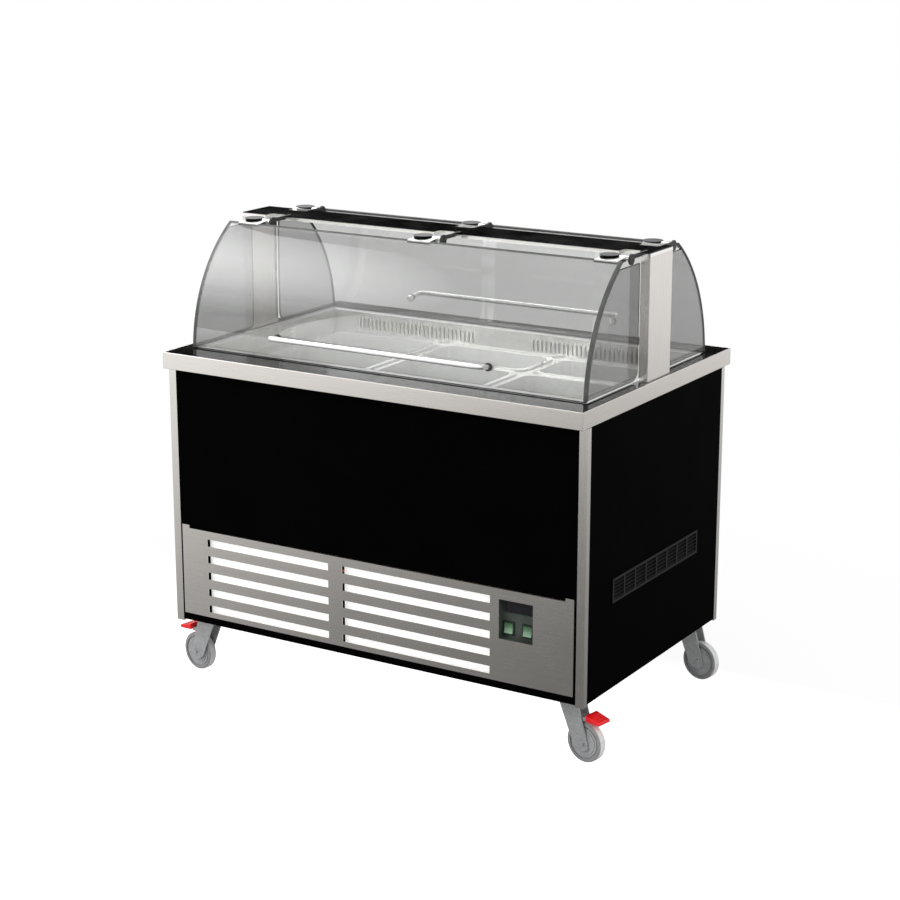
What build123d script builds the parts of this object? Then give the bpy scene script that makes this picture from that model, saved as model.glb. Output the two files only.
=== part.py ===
from build123d import *
from math import cos, radians, sin, sqrt, tan
import os

# Refrigerated self-service buffet counter on castors.
# Millimetres, +X along the counter, +Y to the rear, +Z up, origin on the floor under the worktop's centre.

# Overall sizes
LENGTH = 1170.0
DEPTH = 773.0
WORKTOP_TOP = 850.0
EDGE_HEIGHT = 41.0
FRONT_OVERHANG = 24.0
REAR_OVERHANG = 32.0
BODY_BOTTOM = 155.0
BASE_SHEET = 3.0
SHEET = 2.0
THIN_SHEET = 1.5
FIT = 0.3
RUNNING_GAP = 0.05
PRESS_GAP = 0.02
LAY_GAP = 0.2
TRIM_GAP = 0.5
OVERCUT = 1.0

HALF = LENGTH / 2
WORKTOP_Y = DEPTH / 2
FRONT_FACE = FRONT_OVERHANG - WORKTOP_Y
REAR_FACE = WORKTOP_Y - REAR_OVERHANG
BODY_TOP = WORKTOP_TOP - EDGE_HEIGHT

# Corner posts
POST_WIDTH = 21.0
POST_DEPTH = 16.5
POST_DROP = 5.0
PANEL_HALF = HALF - POST_WIDTH - FIT

# Front grille
GRILLE_HALF = 558.0
GRILLE_BOTTOM = 174.0
GRILLE_TOP = 400.0
GRILLE_RETURN = 8.0
TAB_WIDTH = 22.0
TAB_HEIGHT = 8.0
SLOT_HEIGHT = 18.5
SLOT_PITCH = 43.3
SLOT_ROWS = 5
TOP_SLOT_Z = 370.0
SLOT_COLUMNS = ((-481.0, -115.0), (-75.0, 338.0))
MAT_GAP = 10.0
MAT_THICKNESS = 8.0
MAT_SIDES = (2.0, 12.0)
MAT_INSET = 4.0

# Control recess
RECESS_X = (362.0, 452.0)
RECESS_Z = (279.0, 375.0)
RECESS_DEPTH = 17.5
BEZEL_SIZE = (77.0, 4.0, 30.0)
WINDOW_SIZE = (67.0, 1.0, 22.0)
THERMOSTAT_BODY = (71.0, 55.0, 26.0)
THERMOSTAT_CENTRE = (407.0, 357.0)
SWITCH_CENTRES = (379.0, 429.0)
SWITCH_Z = 302.0
SWITCH_FRAME = (30.0, 2.0, 34.0)
SWITCH_BODY = (26.6, 24.0, 30.0)
SWITCH_CAVITY = (22.6, 26.6)
SWITCH_BACK = 6.0
ROCKER_HALF_WIDTH = 11.0
ROCKER_HALF_HEIGHT = 12.3
ROCKER_PIN = 1.5
ROCKER_PIN_END = 1.5
ROCKER_DEPTH = 2.0
ROCKER_BULGE = (6.5, 4.5)
ROCKER_ROOT = (3.0, 7.0)
ROCKER_TAPER = 1.3
ROCKER_TILT = -6.0

# Side vents
VENT_Y = (-230.0, 219.5)
VENT_Z = (365.0, 423.5)
VENT_CELLS = 8
VENT_RIB = 6.0
VENT_PROUD = 2.0
LOUVRE_PITCH = 9.0
LOUVRE_ANGLE = 40.0
LOUVRE_WIDTH = 7.0
LOUVRE_SHEET = 1.2
VENT_GAP = 0.01

# Worktop and well
DECK = 4.0
EDGE_LIP = 4.0
EDGE_RETURN = 20.0
WELL_X = 525.0
WELL_Y = 275.0
WELL_FLOOR = 565.0
FLANGE_X = 549.0
FLANGE_Y = 303.0
AIR_SLOT = (5.0, 27.0)
AIR_SLOT_PITCH = 12.5
AIR_SLOT_GROUP = (90.0, 440.0)
AIR_SLOT_Z = 820.5
PLENUM = 40.0
FOAM_X = 560.0
FOAM_FRONT = -320.0
FOAM_REAR = 345.0
FOAM_BOTTOM = 520.0
DRAIN_AT = (-420.0, -200.0)
DRAIN_RADIUS = 16.0
DRAIN_WALL = 3.0
DRAIN_END = 505.0

# Food pans
PAN_PITCH = 339.0
PAN_WIDTH = 325.0
FRONT_ROW = (-272.0, 82.0)
REAR_ROW = (96.0, 272.0)
PAN_RIM_TOP = 797.0
PAN_LIP = 3.0
PAN_FLANGE = 13.0
PAN_WALL = 1.2
PAN_DEPTH = 100.0
PAN_DRAFT = 4.0
PAN_CORNER = 28.0
PAN_LOW_CORNER = 23.0
PAN_RIM_CORNER = 15.0
PAN_SEAT = 11.0
FRAME_THICKNESS = 9.0

# Gantry
GANTRY_HALF = 577.0
GANTRY_POST = 24.0
GANTRY_Y = 58.0
GANTRY_TOP = 1153.0
GANTRY_EDGE = 10.0
TOP_SHEET = 1.8
TOP_INSET = 1.0
TRAY_SHEET = 3.0
NOTCH_WIDTH = 60.0
NOTCH_DEPTH = 28.0
NOTCH_START = -3.0

# Guard hinges
HINGE_X = (-500.0, 0.0, 500.0)
HINGE_Y = -108.0
HINGE_Z = 1144.0
PIN_RADIUS = 4.0
BARREL_RADIUS = 7.0
LUG = (52.0, 56.0)
LUG_NOSE = 13.0
BRACKET_FOOT = 14.0
BRACKET_SHEET = 3.0
BRACKET_RISE = 1.0
CAP_RADIUS = 24.0
CAP_THICKNESS = 5.0
CAP_LAP = 3.0
CAP_OFFSET = 2.0
CLAMP_X = (-20.0, 42.0)
PIN_END = 2.0
JAW_BACK = 7.0
JAW_LENGTH = 9.0
JAW_HALF = 6.0
JAW_CUT = 5.0
JAW_RELIEF = 0.1
ARM_HALF = 5.0

# Guard glass
GLASS = 6.0
GLASS_RADIUS = 370.0
GLASS_CENTRE = (64.0, 837.0)
GLASS_HALF = 552.0
GLASS_TOP_ANGLE = 124.0
GLASS_LOW_ANGLE = 177.4
CHEEK_X = (545.3, 551.3)
CHEEK_REAR = -61.0
CHEEK_BOTTOM = 858.0
CHEEK_TOP = 1128.0
CHEEK_CORNER = 15.0

# Guard handles
HANDLE_HALF = 295.0
HANDLE_RADIUS = 6.0
HANDLE_ANGLE = 170.0
HANDLE_STANDOFF = 42.0
HANDLE_BEND = 16.0
STUD_RADIUS = 4.0
STUD_HOLE = 5.0
STUD_LENGTH = 9.0
WASHER_RADIUS = 10.0
WASHER = 2.5
NUT_RADIUS = 9.0
NUT_LENGTH = 10.0

# Castors
CASTOR_X = 531.0
CASTOR_FRONT = -303.0
CASTOR_REAR = 317.0
TRAIL = 36.0
TRAIL_ANGLE = 10.0
WHEEL_RADIUS = 49.0
WHEEL_HALF = 11.0
HUB_RADIUS = 12.0
RIM_RADIUS = 34.0
FORK_INSIDE = 13.5
FORK_SHEET = 3.0
KINGPIN = 5.0
AXLE_RADIUS = 4.0
AXLE_BOSS = 20.0
CASTOR_PLATE = 32.0
PLATE_SHEET = 4.0
RACE_HEIGHT = 8.0
CROWN_TOP = BODY_BOTTOM - PLATE_SHEET - RACE_HEIGHT
CROWN_LOW = CROWN_TOP - FORK_SHEET
CROWN_X = (-34.0, 34.0)
BEARING_RADIUS = 24.0
KINGPIN_HEAD = 8.0
HEAD_DEPTH = 4.0
AXLE_HEAD = 7.0
AXLE_END = 4.0
TREAD_ROUND = 4.0
RIM_DEPTH = 6.0
PEDAL_PIVOT = (20.0, 106.0)
PEDAL_PIN = 3.0
PEDAL_LEVER = ((12, 101.5), (50, 101.5), (50, 112), (12, 112))
PEDAL_TREAD = ((47, 105), (47, 120), (50, 121.5), (88, 109.5), (88, 102), (62, 105))
LEVER_HALF = 12.5
TREAD_HALF = 22.0

# Refrigeration unit
CONDENSER_X = (-440.0, -120.0)
CONDENSER_Y = (-336.0, -296.0)
CONDENSER_Z = (170.0, 390.0)
CONDENSER_PLATE = 3.0
CORE_INSET = 4.0
CORE_GROOVE = 8.0
CORE_PITCH = 18.0
CORE_ROWS = 11
FAN_RADIUS = 92.0
FAN_HUB = 26.0
FAN_DEPTH = 24.0
FAN_SETBACK = 8.0
FAN_BLADES = 5
BLADE_PITCH = 30.0
BLADE_SHEET = 2.5
BLADE_REACH = 1.2
BLADE_ROOT = 2.0
COWL_DEPTH = 40.0
COWL_SHEET = 3.0
STRUT = 10.0
MOTOR_RADIUS = 30.0
MOTOR_LENGTH = 40.0
COMPRESSOR_AT = (-280.0, -60.0)
COMPRESSOR_RADIUS = 78.0
COMPRESSOR_HEIGHT = 160.0
COMPRESSOR_DOME = 40.0
FOOT_HALF = (100.0, 70.0)
FOOT_HEIGHT = 12.0
PIPE_RADIUS = 5.0
PIPE_HOLE = 8.0
PIPE_BEND = 12.0
HOT_PIPE_Z = 245.0
HOT_PIPE_REACH = 30.0
COLD_PIPE_Z = 350.0
COOLER_PIPE_AT = (300.0, 150.0)
COOLER_X = 380.0
COOLER_Y = (-180.0, 200.0)
COOLER_GAP = 10.0
COOLER_HEIGHT = 45.0
COOLER_GROOVE = (34.0, 38.0)
COOLER_PITCH = 40.0
COOLER_GROOVES = 19
COOLER_FAN_Z = 618.0
COOLER_FAN_RADIUS = 37.0
COOLER_FAN_HUB = 15.0
COOLER_FAN_DEPTH = 14.0
COOLER_FRAME_DEPTH = 26.0
COOLER_FRAME_RIM = 9.0
COOLER_STRUT = (12.0, 4.0)
COOLER_BOSS = 6.0
COOLER_SHAFT = 3.0
FAN_CLEARANCE = 3.0
FAN_X = sum(CONDENSER_X) / 2
FAN_Z = sum(CONDENSER_Z) / 2

# Mains inlet
INLET_CENTRE = (450.0, 216.0)
INLET_FLANGE = (40.0, 2.0, 28.0)
INLET_CUT = (28.0, 20.0)
INLET_DEPTH = 22.0
INLET_WALL = 2.7
INLET_BACK = 6.0


# Shape helpers

def block(x0, x1, y0, y1, z0, z1):
    """Box between two corners."""
    centre = Pos((x0 + x1) / 2, (y0 + y1) / 2, (z0 + z1) / 2)
    return centre * Box(x1 - x0, y1 - y0, z1 - z0)


def rod_x(x0, x1, y, z, radius):
    return Pos((x0 + x1) / 2, y, z) * Rot(0, 90, 0) * Cylinder(radius, x1 - x0)


def rod_y(x, y0, y1, z, radius):
    return Pos(x, (y0 + y1) / 2, z) * Rot(90, 0, 0) * Cylinder(radius, y1 - y0)


def rod_z(x, y, z0, z1, radius):
    return Pos(x, y, (z0 + z1) / 2) * Cylinder(radius, z1 - z0)


def side_solid(points, x0, x1):
    """Outline in Y and Z, drawn out along X."""
    face = Plane.YZ * make_face(Polyline(*points, close=True))
    return Pos(x0, 0, 0) * extrude(face, amount=x1 - x0)


def front_solid(points, y0, y1):
    """Outline in X and Z, drawn out along Y."""
    face = Plane.XZ * make_face(Polyline(*points, close=True))
    return Pos(0, y1, 0) * extrude(face, amount=y1 - y0)


def bent_rod(points, radius, bend):
    path = FilletPolyline(*points, radius=bend)
    section = Plane(origin=path @ 0, z_dir=path % 0) * Circle(radius)
    return sweep(section, path=path)


def other_end(shape):
    return mirror(shape, about=Plane.YZ)


def other_side(shape):
    return mirror(shape, about=Plane.XZ)


def save(name, *solids):
    """One named node: a single piece, or a group of like pieces."""
    shape = solids[0] if len(solids) == 1 else Compound(children=list(solids))
    shape.label = name
    export_step(shape, "parts/" + name + ".step")


# Cabinet

def base_tray():
    """Floor with upright strips along its front and rear, cut out round the corner posts."""
    side = HALF - SHEET - FIT
    tray = block(-side, side, FRONT_FACE, REAR_FACE, BODY_BOTTOM, BODY_BOTTOM + BASE_SHEET)
    strip_top = GRILLE_BOTTOM - FIT
    tray += block(-PANEL_HALF, PANEL_HALF, FRONT_FACE, FRONT_FACE + SHEET, BODY_BOTTOM, strip_top)
    tray += block(-PANEL_HALF, PANEL_HALF, REAR_FACE - SHEET, REAR_FACE, BODY_BOTTOM, strip_top)
    wide, deep = POST_WIDTH + FIT, POST_DEPTH + FIT
    for x in (-HALF, HALF):
        for y in (FRONT_FACE, REAR_FACE):
            tray -= block(x - wide, x + wide, y - deep, y + deep, BODY_BOTTOM, strip_top)
    return tray


def corner_post(y0, y1):
    bottom, top = BODY_BOTTOM - POST_DROP, BODY_TOP - FIT
    outside = block(HALF - POST_WIDTH, HALF, y0, y1, bottom, top)
    wall = THIN_SHEET
    inside = block(HALF - POST_WIDTH + wall, HALF - wall, y0 + wall, y1 - wall, bottom, top)
    return outside - inside


def corner_posts():
    right = [
        corner_post(FRONT_FACE, FRONT_FACE + POST_DEPTH),
        corner_post(REAR_FACE - POST_DEPTH, REAR_FACE),
    ]
    return right + [other_end(post) for post in right]


def front_panel():
    return block(-PANEL_HALF, PANEL_HALF, FRONT_FACE, FRONT_FACE + SHEET, GRILLE_TOP + SHEET, BODY_TOP - FIT)


def rear_panel():
    panel = block(-PANEL_HALF, PANEL_HALF, REAR_FACE - SHEET, REAR_FACE, GRILLE_BOTTOM, BODY_TOP - FIT)
    return panel - inlet_cut()


def side_panel():
    y0, y1 = FRONT_FACE + POST_DEPTH + FIT, REAR_FACE - POST_DEPTH - FIT
    panel = block(HALF - SHEET, HALF, y0, y1, BODY_BOTTOM, BODY_TOP - FIT)
    margin = VENT_RIB - FIT
    hole = block(
        HALF - SHEET, HALF, VENT_Y[0] + margin, VENT_Y[1] - margin, VENT_Z[0] + margin, VENT_Z[1] - margin
    )
    return panel - hole


def side_vent():
    """Frame with uprights in front of a stack of sloping louvres."""
    y0, y1 = VENT_Y
    z0, z1 = VENT_Z
    frame = block(HALF + VENT_GAP, HALF + VENT_PROUD, y0, y1, z0, z1)
    pitch = (y1 - y0 - VENT_RIB) / VENT_CELLS
    for cell in range(VENT_CELLS):
        left = y0 + VENT_RIB + cell * pitch
        frame -= block(
            HALF, HALF + VENT_PROUD, left, left + pitch - VENT_RIB, z0 + VENT_RIB, z1 - VENT_RIB
        )
    louvre_z = z0 + VENT_RIB + LOUVRE_PITCH / 2
    while louvre_z < z1 - VENT_RIB:
        slat = Box(LOUVRE_WIDTH, y1 - y0 - 2 * VENT_RIB, LOUVRE_SHEET)
        place = Pos(HALF - LOUVRE_SHEET, (y0 + y1) / 2, louvre_z) * Rot(0, LOUVRE_ANGLE, 0)
        frame += place * slat
        louvre_z += LOUVRE_PITCH
    return frame


def front_grille():
    """Slotted sheet with returned edges, hook tabs and the control opening."""
    face = FRONT_FACE - LAY_GAP
    front = face - THIN_SHEET
    grille = block(-GRILLE_HALF, GRILLE_HALF, front, face, GRILLE_BOTTOM, GRILLE_TOP)
    back = face + GRILLE_RETURN
    for x in (-GRILLE_HALF, GRILLE_HALF - THIN_SHEET):
        grille += block(x, x + THIN_SHEET, front, back, GRILLE_BOTTOM, GRILLE_TOP)
    for z in (GRILLE_BOTTOM, GRILLE_TOP - THIN_SHEET):
        grille += block(-GRILLE_HALF, GRILLE_HALF, front, back, z, z + THIN_SHEET)
    for x in (-GRILLE_HALF, GRILLE_HALF - TAB_WIDTH):
        grille += block(x, x + TAB_WIDTH, front, face, GRILLE_TOP, GRILLE_TOP + TAB_HEIGHT)
    for x0, x1 in SLOT_COLUMNS:
        for row in range(SLOT_ROWS):
            z = TOP_SLOT_Z - row * SLOT_PITCH
            grille -= block(x0, x1, front - OVERCUT, face + OVERCUT, z - SLOT_HEIGHT / 2, z + SLOT_HEIGHT / 2)
    grille -= block(*RECESS_X, front - OVERCUT, face + OVERCUT, *RECESS_Z)
    return grille


def filter_mat(slot_start, slot_end):
    """Mat behind one column of slots."""
    x0, x1 = slot_start - MAT_SIDES[0], slot_end + MAT_SIDES[1]
    y0 = FRONT_FACE + MAT_GAP
    return block(x0, x1, y0, y0 + MAT_THICKNESS, GRILLE_BOTTOM + MAT_INSET, GRILLE_TOP - MAT_INSET)


# Controls

def recess_back():
    return FRONT_FACE + RECESS_DEPTH


def centred(x, y0, y1, z, width, height):
    return block(x - width / 2, x + width / 2, y0, y1, z - height / 2, z + height / 2)


def control_box():
    wall = THIN_SHEET
    back = recess_back()
    (x0, x1), (z0, z1) = RECESS_X, RECESS_Z
    box = block(x0 - wall, x1 + wall, FRONT_FACE, back + wall, z0 - wall, z1 + wall)
    box -= block(x0, x1, FRONT_FACE, back, z0, z1)
    x, z = THERMOSTAT_CENTRE
    box -= centred(x, back, back + wall, z, THERMOSTAT_BODY[0] + FIT, THERMOSTAT_BODY[2] + FIT)
    for x in SWITCH_CENTRES:
        box -= centred(x, back, back + wall, SWITCH_Z, SWITCH_BODY[0] + FIT, SWITCH_BODY[2] + FIT)
    return box


def thermostat():
    back = recess_back()
    front = back - BEZEL_SIZE[1]
    x, z = THERMOSTAT_CENTRE
    bezel = centred(x, front, back, z, BEZEL_SIZE[0], BEZEL_SIZE[2])
    window = centred(x, front, front + WINDOW_SIZE[1], z, WINDOW_SIZE[0], WINDOW_SIZE[2])
    body = centred(x, back, back + THERMOSTAT_BODY[1], z, THERMOSTAT_BODY[0], THERMOSTAT_BODY[2])
    return bezel - window + body


def switch_frame(x):
    back = recess_back()
    frame = centred(x, back - SWITCH_FRAME[1], back, SWITCH_Z, SWITCH_FRAME[0], SWITCH_FRAME[2])
    frame += centred(x, back, back + SWITCH_BODY[1], SWITCH_Z, SWITCH_BODY[0], SWITCH_BODY[2])
    frame -= centred(x, back - SWITCH_FRAME[1], back + SWITCH_BODY[1] - SWITCH_BACK, SWITCH_Z, *SWITCH_CAVITY)
    reach = SWITCH_BODY[0] / 2
    return frame - rod_x(x - reach, x + reach, back + ROCKER_DEPTH, SWITCH_Z, ROCKER_PIN + RUNNING_GAP)


def rocker(x):
    """Shallow V-faced key that tips about a pin across its middle."""
    pivot = recess_back() + ROCKER_DEPTH
    tall = ROCKER_HALF_HEIGHT
    low = tall - ROCKER_TAPER
    outer, waist = ROCKER_BULGE
    side, root = ROCKER_ROOT
    outline = [
        (pivot - outer, SWITCH_Z - tall),
        (pivot - waist, SWITCH_Z),
        (pivot - outer, SWITCH_Z + tall),
        (pivot + side, SWITCH_Z + low),
        (pivot + root, SWITCH_Z),
        (pivot + side, SWITCH_Z - low),
    ]
    key = side_solid(outline, x - ROCKER_HALF_WIDTH, x + ROCKER_HALF_WIDTH)
    reach = ROCKER_HALF_WIDTH + ROCKER_PIN_END
    key += rod_x(x - reach, x + reach, pivot, SWITCH_Z, ROCKER_PIN)
    return key.rotate(Axis((x, pivot, SWITCH_Z), (1, 0, 0)), ROCKER_TILT)


# Worktop and well

def worktop_deck():
    x, y = HALF - EDGE_LIP - LAY_GAP, WORKTOP_Y - EDGE_LIP - LAY_GAP
    deck = block(-x, x, -y, y, WORKTOP_TOP - DECK, WORKTOP_TOP)
    x, y = FLANGE_X + TRIM_GAP, FLANGE_Y + TRIM_GAP
    return deck - block(-x, x, -y, y, WORKTOP_TOP - DECK, WORKTOP_TOP)


def worktop_edge():
    """Upright edge strip all round, lipped at the top and returned underneath."""
    edge = block(-HALF, HALF, -WORKTOP_Y, WORKTOP_Y, BODY_TOP, WORKTOP_TOP)
    for inset, z0, z1 in (
        (EDGE_LIP, WORKTOP_TOP - DECK, WORKTOP_TOP),
        (SHEET, BODY_TOP + SHEET, WORKTOP_TOP - DECK),
        (EDGE_RETURN, BODY_TOP, BODY_TOP + SHEET),
    ):
        edge -= block(inset - HALF, HALF - inset, inset - WORKTOP_Y, WORKTOP_Y - inset, z0, z1)
    return edge


def air_slots(y0, y1):
    """Two rows of upright slots in the rear wall of the well."""
    width, height = AIR_SLOT
    first, last = AIR_SLOT_GROUP
    slots = []
    count = int((last - first) / AIR_SLOT_PITCH) + 1
    for step in range(count):
        x = first + step * AIR_SLOT_PITCH
        for centre in (-x, x):
            slots.append(centred(centre, y0, y1, AIR_SLOT_Z, width, height))
    return slots


def well_tub():
    wall = THIN_SHEET
    x, y = WELL_X + wall, WELL_Y + wall
    tub = block(-x, x, -y, y, WELL_FLOOR - wall, WORKTOP_TOP)
    tub += block(-FLANGE_X, FLANGE_X, -FLANGE_Y, FLANGE_Y, WORKTOP_TOP - SHEET, WORKTOP_TOP)
    tub += rod_z(*DRAIN_AT, DRAIN_END, WELL_FLOOR, DRAIN_RADIUS)
    tub -= block(-WELL_X, WELL_X, -WELL_Y, WELL_Y, WELL_FLOOR, WORKTOP_TOP)
    tub -= rod_z(*DRAIN_AT, DRAIN_END, WELL_FLOOR, DRAIN_RADIUS - DRAIN_WALL)
    tub -= rod_y(0, WELL_Y, y, COOLER_FAN_Z, COOLER_FAN_RADIUS + FAN_CLEARANCE)
    tub -= rod_z(*COOLER_PIPE_AT, WELL_FLOOR - wall, WELL_FLOOR, PIPE_HOLE)
    return tub - air_slots(WELL_Y, y)


def well_insulation():
    """Foam jacket, open on top, with the air way behind the rear wall of the well."""
    gap = THIN_SHEET + FIT
    top = WORKTOP_TOP - DECK - TRIM_GAP
    foam = block(-FOAM_X, FOAM_X, FOAM_FRONT, FOAM_REAR, FOAM_BOTTOM, top)
    rear = WELL_Y + THIN_SHEET + PLENUM
    foam -= block(-WELL_X - gap, WELL_X + gap, -WELL_Y - gap, rear, WELL_FLOOR - gap, top)
    foam -= rod_z(*DRAIN_AT, FOAM_BOTTOM, WELL_FLOOR, DRAIN_RADIUS + TRIM_GAP)
    return foam - rod_z(*COOLER_PIPE_AT, FOAM_BOTTOM, WELL_FLOOR, PIPE_HOLE)


def pan_frame():
    top = PAN_RIM_TOP - PAN_LIP
    x, y = WELL_X - TRIM_GAP, WELL_Y - TRIM_GAP
    frame = block(-x, x, -y, y, top - FRAME_THICKNESS, top)
    for column in (-PAN_PITCH, 0, PAN_PITCH):
        for y0, y1 in (FRONT_ROW, REAR_ROW):
            wide = PAN_WIDTH / 2 - PAN_SEAT
            frame -= block(
                column - wide, column + wide, y0 + PAN_SEAT, y1 - PAN_SEAT, top - FRAME_THICKNESS, top
            )
    return frame


def tapered_box(x, y, depth, width, length, wall):
    """Round-cornered box below the pan rim that narrows downwards, set in by a wall."""
    narrowing = 2 * depth * tan(radians(PAN_DRAFT))
    upper = Pos(x, y, PAN_RIM_TOP) * RectangleRounded(width, length, PAN_CORNER - wall)
    low_width, low_length = width - narrowing, length - narrowing
    lower = Pos(x, y, PAN_RIM_TOP - depth) * RectangleRounded(low_width, low_length, PAN_LOW_CORNER - wall)
    return loft([upper, lower])


def pan(column, row):
    """Food pan with a flat rim turned down at its outer edge."""
    y = (row[0] + row[1]) / 2
    length = row[1] - row[0]
    wall, inset = PAN_WALL, 2 * PAN_FLANGE
    low = PAN_RIM_TOP - PAN_LIP
    rim = Pos(column, y, low) * extrude(RectangleRounded(PAN_WIDTH, length, PAN_RIM_CORNER), amount=PAN_LIP)
    under = RectangleRounded(PAN_WIDTH - 2 * wall, length - 2 * wall, PAN_RIM_CORNER - wall)
    rim -= Pos(column, y, low) * extrude(under, amount=PAN_LIP - wall)
    outside = tapered_box(column, y, PAN_DEPTH, PAN_WIDTH - inset, length - inset, 0)
    width = PAN_WIDTH - inset - 2 * wall
    inside = tapered_box(column, y, PAN_DEPTH - wall, width, length - inset - 2 * wall, wall)
    return rim + outside - inside


# Gantry

def hinge_notches(z0, z1):
    """Cut-outs in both long edges of the gantry, one at each hinge."""
    notches = []
    for hinge in HINGE_X:
        x = hinge + NOTCH_START
        notches.append(block(x, x + NOTCH_WIDTH, -GANTRY_Y, NOTCH_DEPTH - GANTRY_Y, z0, z1))
        notches.append(block(x, x + NOTCH_WIDTH, GANTRY_Y - NOTCH_DEPTH, GANTRY_Y, z0, z1))
    return notches


def gantry_post():
    top = GANTRY_TOP - GANTRY_EDGE
    inner, outer, wall = GANTRY_HALF - GANTRY_POST, GANTRY_HALF, THIN_SHEET
    post = block(inner, outer, -GANTRY_Y, GANTRY_Y, WORKTOP_TOP, top)
    return post - block(inner + wall, outer - wall, wall - GANTRY_Y, GANTRY_Y - wall, WORKTOP_TOP, top)


def gantry_tray():
    """Flat shelf with a turned-down edge."""
    z0, z1 = GANTRY_TOP - GANTRY_EDGE, GANTRY_TOP - TOP_SHEET - LAY_GAP
    tray = block(-GANTRY_HALF, GANTRY_HALF, -GANTRY_Y, GANTRY_Y, z0, z1)
    tray -= hinge_notches(z0, z1)
    x, y = GANTRY_HALF - SHEET, GANTRY_Y - SHEET
    hollow = block(-x, x, -y, y, z0, z1 - TRAY_SHEET)
    for hinge in HINGE_X:
        x = hinge + NOTCH_START - SHEET
        wide = NOTCH_WIDTH + 2 * SHEET
        deep = NOTCH_DEPTH + SHEET
        hollow -= block(x, x + wide, -GANTRY_Y, deep - GANTRY_Y, z0, z1)
        hollow -= block(x, x + wide, GANTRY_Y - deep, GANTRY_Y, z0, z1)
    return tray - hollow


def gantry_top():
    z0, z1 = GANTRY_TOP - TOP_SHEET, GANTRY_TOP
    x, y = GANTRY_HALF - TOP_INSET, GANTRY_Y - TOP_INSET
    sheet = block(-x, x, -y, y, z0, z1)
    return sheet - hinge_notches(z0, z1)


# Guard hinges, drawn for the front guard

def hinge_bracket(x):
    """Arm from the gantry's notch to a round-nosed lug with a fixed pin."""
    x0, x1 = x + LUG[0], x + LUG[1]
    rear = NOTCH_DEPTH - GANTRY_Y - LAY_GAP
    low, high = HINGE_Z + TRIM_GAP, GANTRY_TOP + BRACKET_RISE
    bracket = block(x0, x1, HINGE_Y, rear, low, high)
    bracket += block(x0 - BRACKET_FOOT, x1, rear - BRACKET_SHEET, rear, low, GANTRY_TOP - SHEET)
    bracket += rod_x(x0, x1, HINGE_Y, HINGE_Z, LUG_NOSE)
    return bracket + rod_x(x + CLAMP_X[0] + PIN_END, x1, HINGE_Y, HINGE_Z, PIN_RADIUS)


def on_glass(angle, radius):
    """Point in Y and Z on a circle about the front glass centre."""
    turn = radians(angle)
    return GLASS_CENTRE[0] + radius * cos(turn), GLASS_CENTRE[1] + radius * sin(turn)


def glass_band(inner, outer, start, end, x0, x1):
    """Stretch of a tube about the front glass centre."""
    sweep_angle = end - start
    near = CenterArc(GLASS_CENTRE, inner, start, sweep_angle)
    far = CenterArc(GLASS_CENTRE, outer, start, sweep_angle)
    face = make_face([near, far, Line(near @ 0, far @ 0), Line(near @ 1, far @ 1)])
    return Pos(x0, 0, 0) * extrude(Plane.YZ * face, amount=x1 - x0)


def hinge_clamp(x):
    """Barrel on the pin, round cap over it, and an arm whose jaws hold the glass edge."""
    x0, x1 = x + CLAMP_X[0], x + CLAMP_X[1]
    barrel = rod_x(x0 - PIN_END, x + LUG[0] - TRIM_GAP, HINGE_Y, HINGE_Z, BARREL_RADIUS)
    cap_low = HINGE_Z + BARREL_RADIUS - CAP_LAP
    cap = rod_z(x, HINGE_Y - CAP_OFFSET, cap_low, cap_low + CAP_THICKNESS, CAP_RADIUS)
    along = radians(GLASS_TOP_ANGLE + 90)
    outward = radians(GLASS_TOP_ANGLE)
    edge_y, edge_z = on_glass(GLASS_TOP_ANGLE, GLASS_RADIUS)
    corners = []
    ends = ((-JAW_BACK, -JAW_HALF), (JAW_LENGTH, -JAW_HALF), (JAW_LENGTH, JAW_HALF), (-JAW_BACK, JAW_HALF))
    for reach, lift in ends:
        y = edge_y + reach * cos(along) + lift * cos(outward)
        z = edge_z + reach * sin(along) + lift * sin(outward)
        corners.append((y, z))
    jaws = side_solid(corners, x0, x1)
    half_slot = GLASS / 2 + FIT
    inner, outer = GLASS_RADIUS - half_slot, GLASS_RADIUS + half_slot
    jaws -= glass_band(inner, outer, GLASS_TOP_ANGLE - JAW_RELIEF, GLASS_TOP_ANGLE + JAW_CUT, x0, x1)
    arm = block(x0, x1, edge_y + ARM_HALF, HINGE_Y, HINGE_Z - ARM_HALF, HINGE_Z + ARM_HALF)
    clamp = barrel + cap + jaws + arm
    return clamp - rod_x(x0 + TRIM_GAP, x + LUG[0], HINGE_Y, HINGE_Z, PIN_RADIUS + RUNNING_GAP)


# Guards, drawn for the front guard

def guard_glass():
    half = GLASS / 2
    glass = glass_band(
        GLASS_RADIUS - half, GLASS_RADIUS + half, GLASS_TOP_ANGLE, GLASS_LOW_ANGLE, -GLASS_HALF, GLASS_HALF
    )
    for x in (-HANDLE_HALF, HANDLE_HALF):
        glass -= handle_leg(x, -GLASS, GLASS, STUD_HOLE)
    return glass


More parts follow.
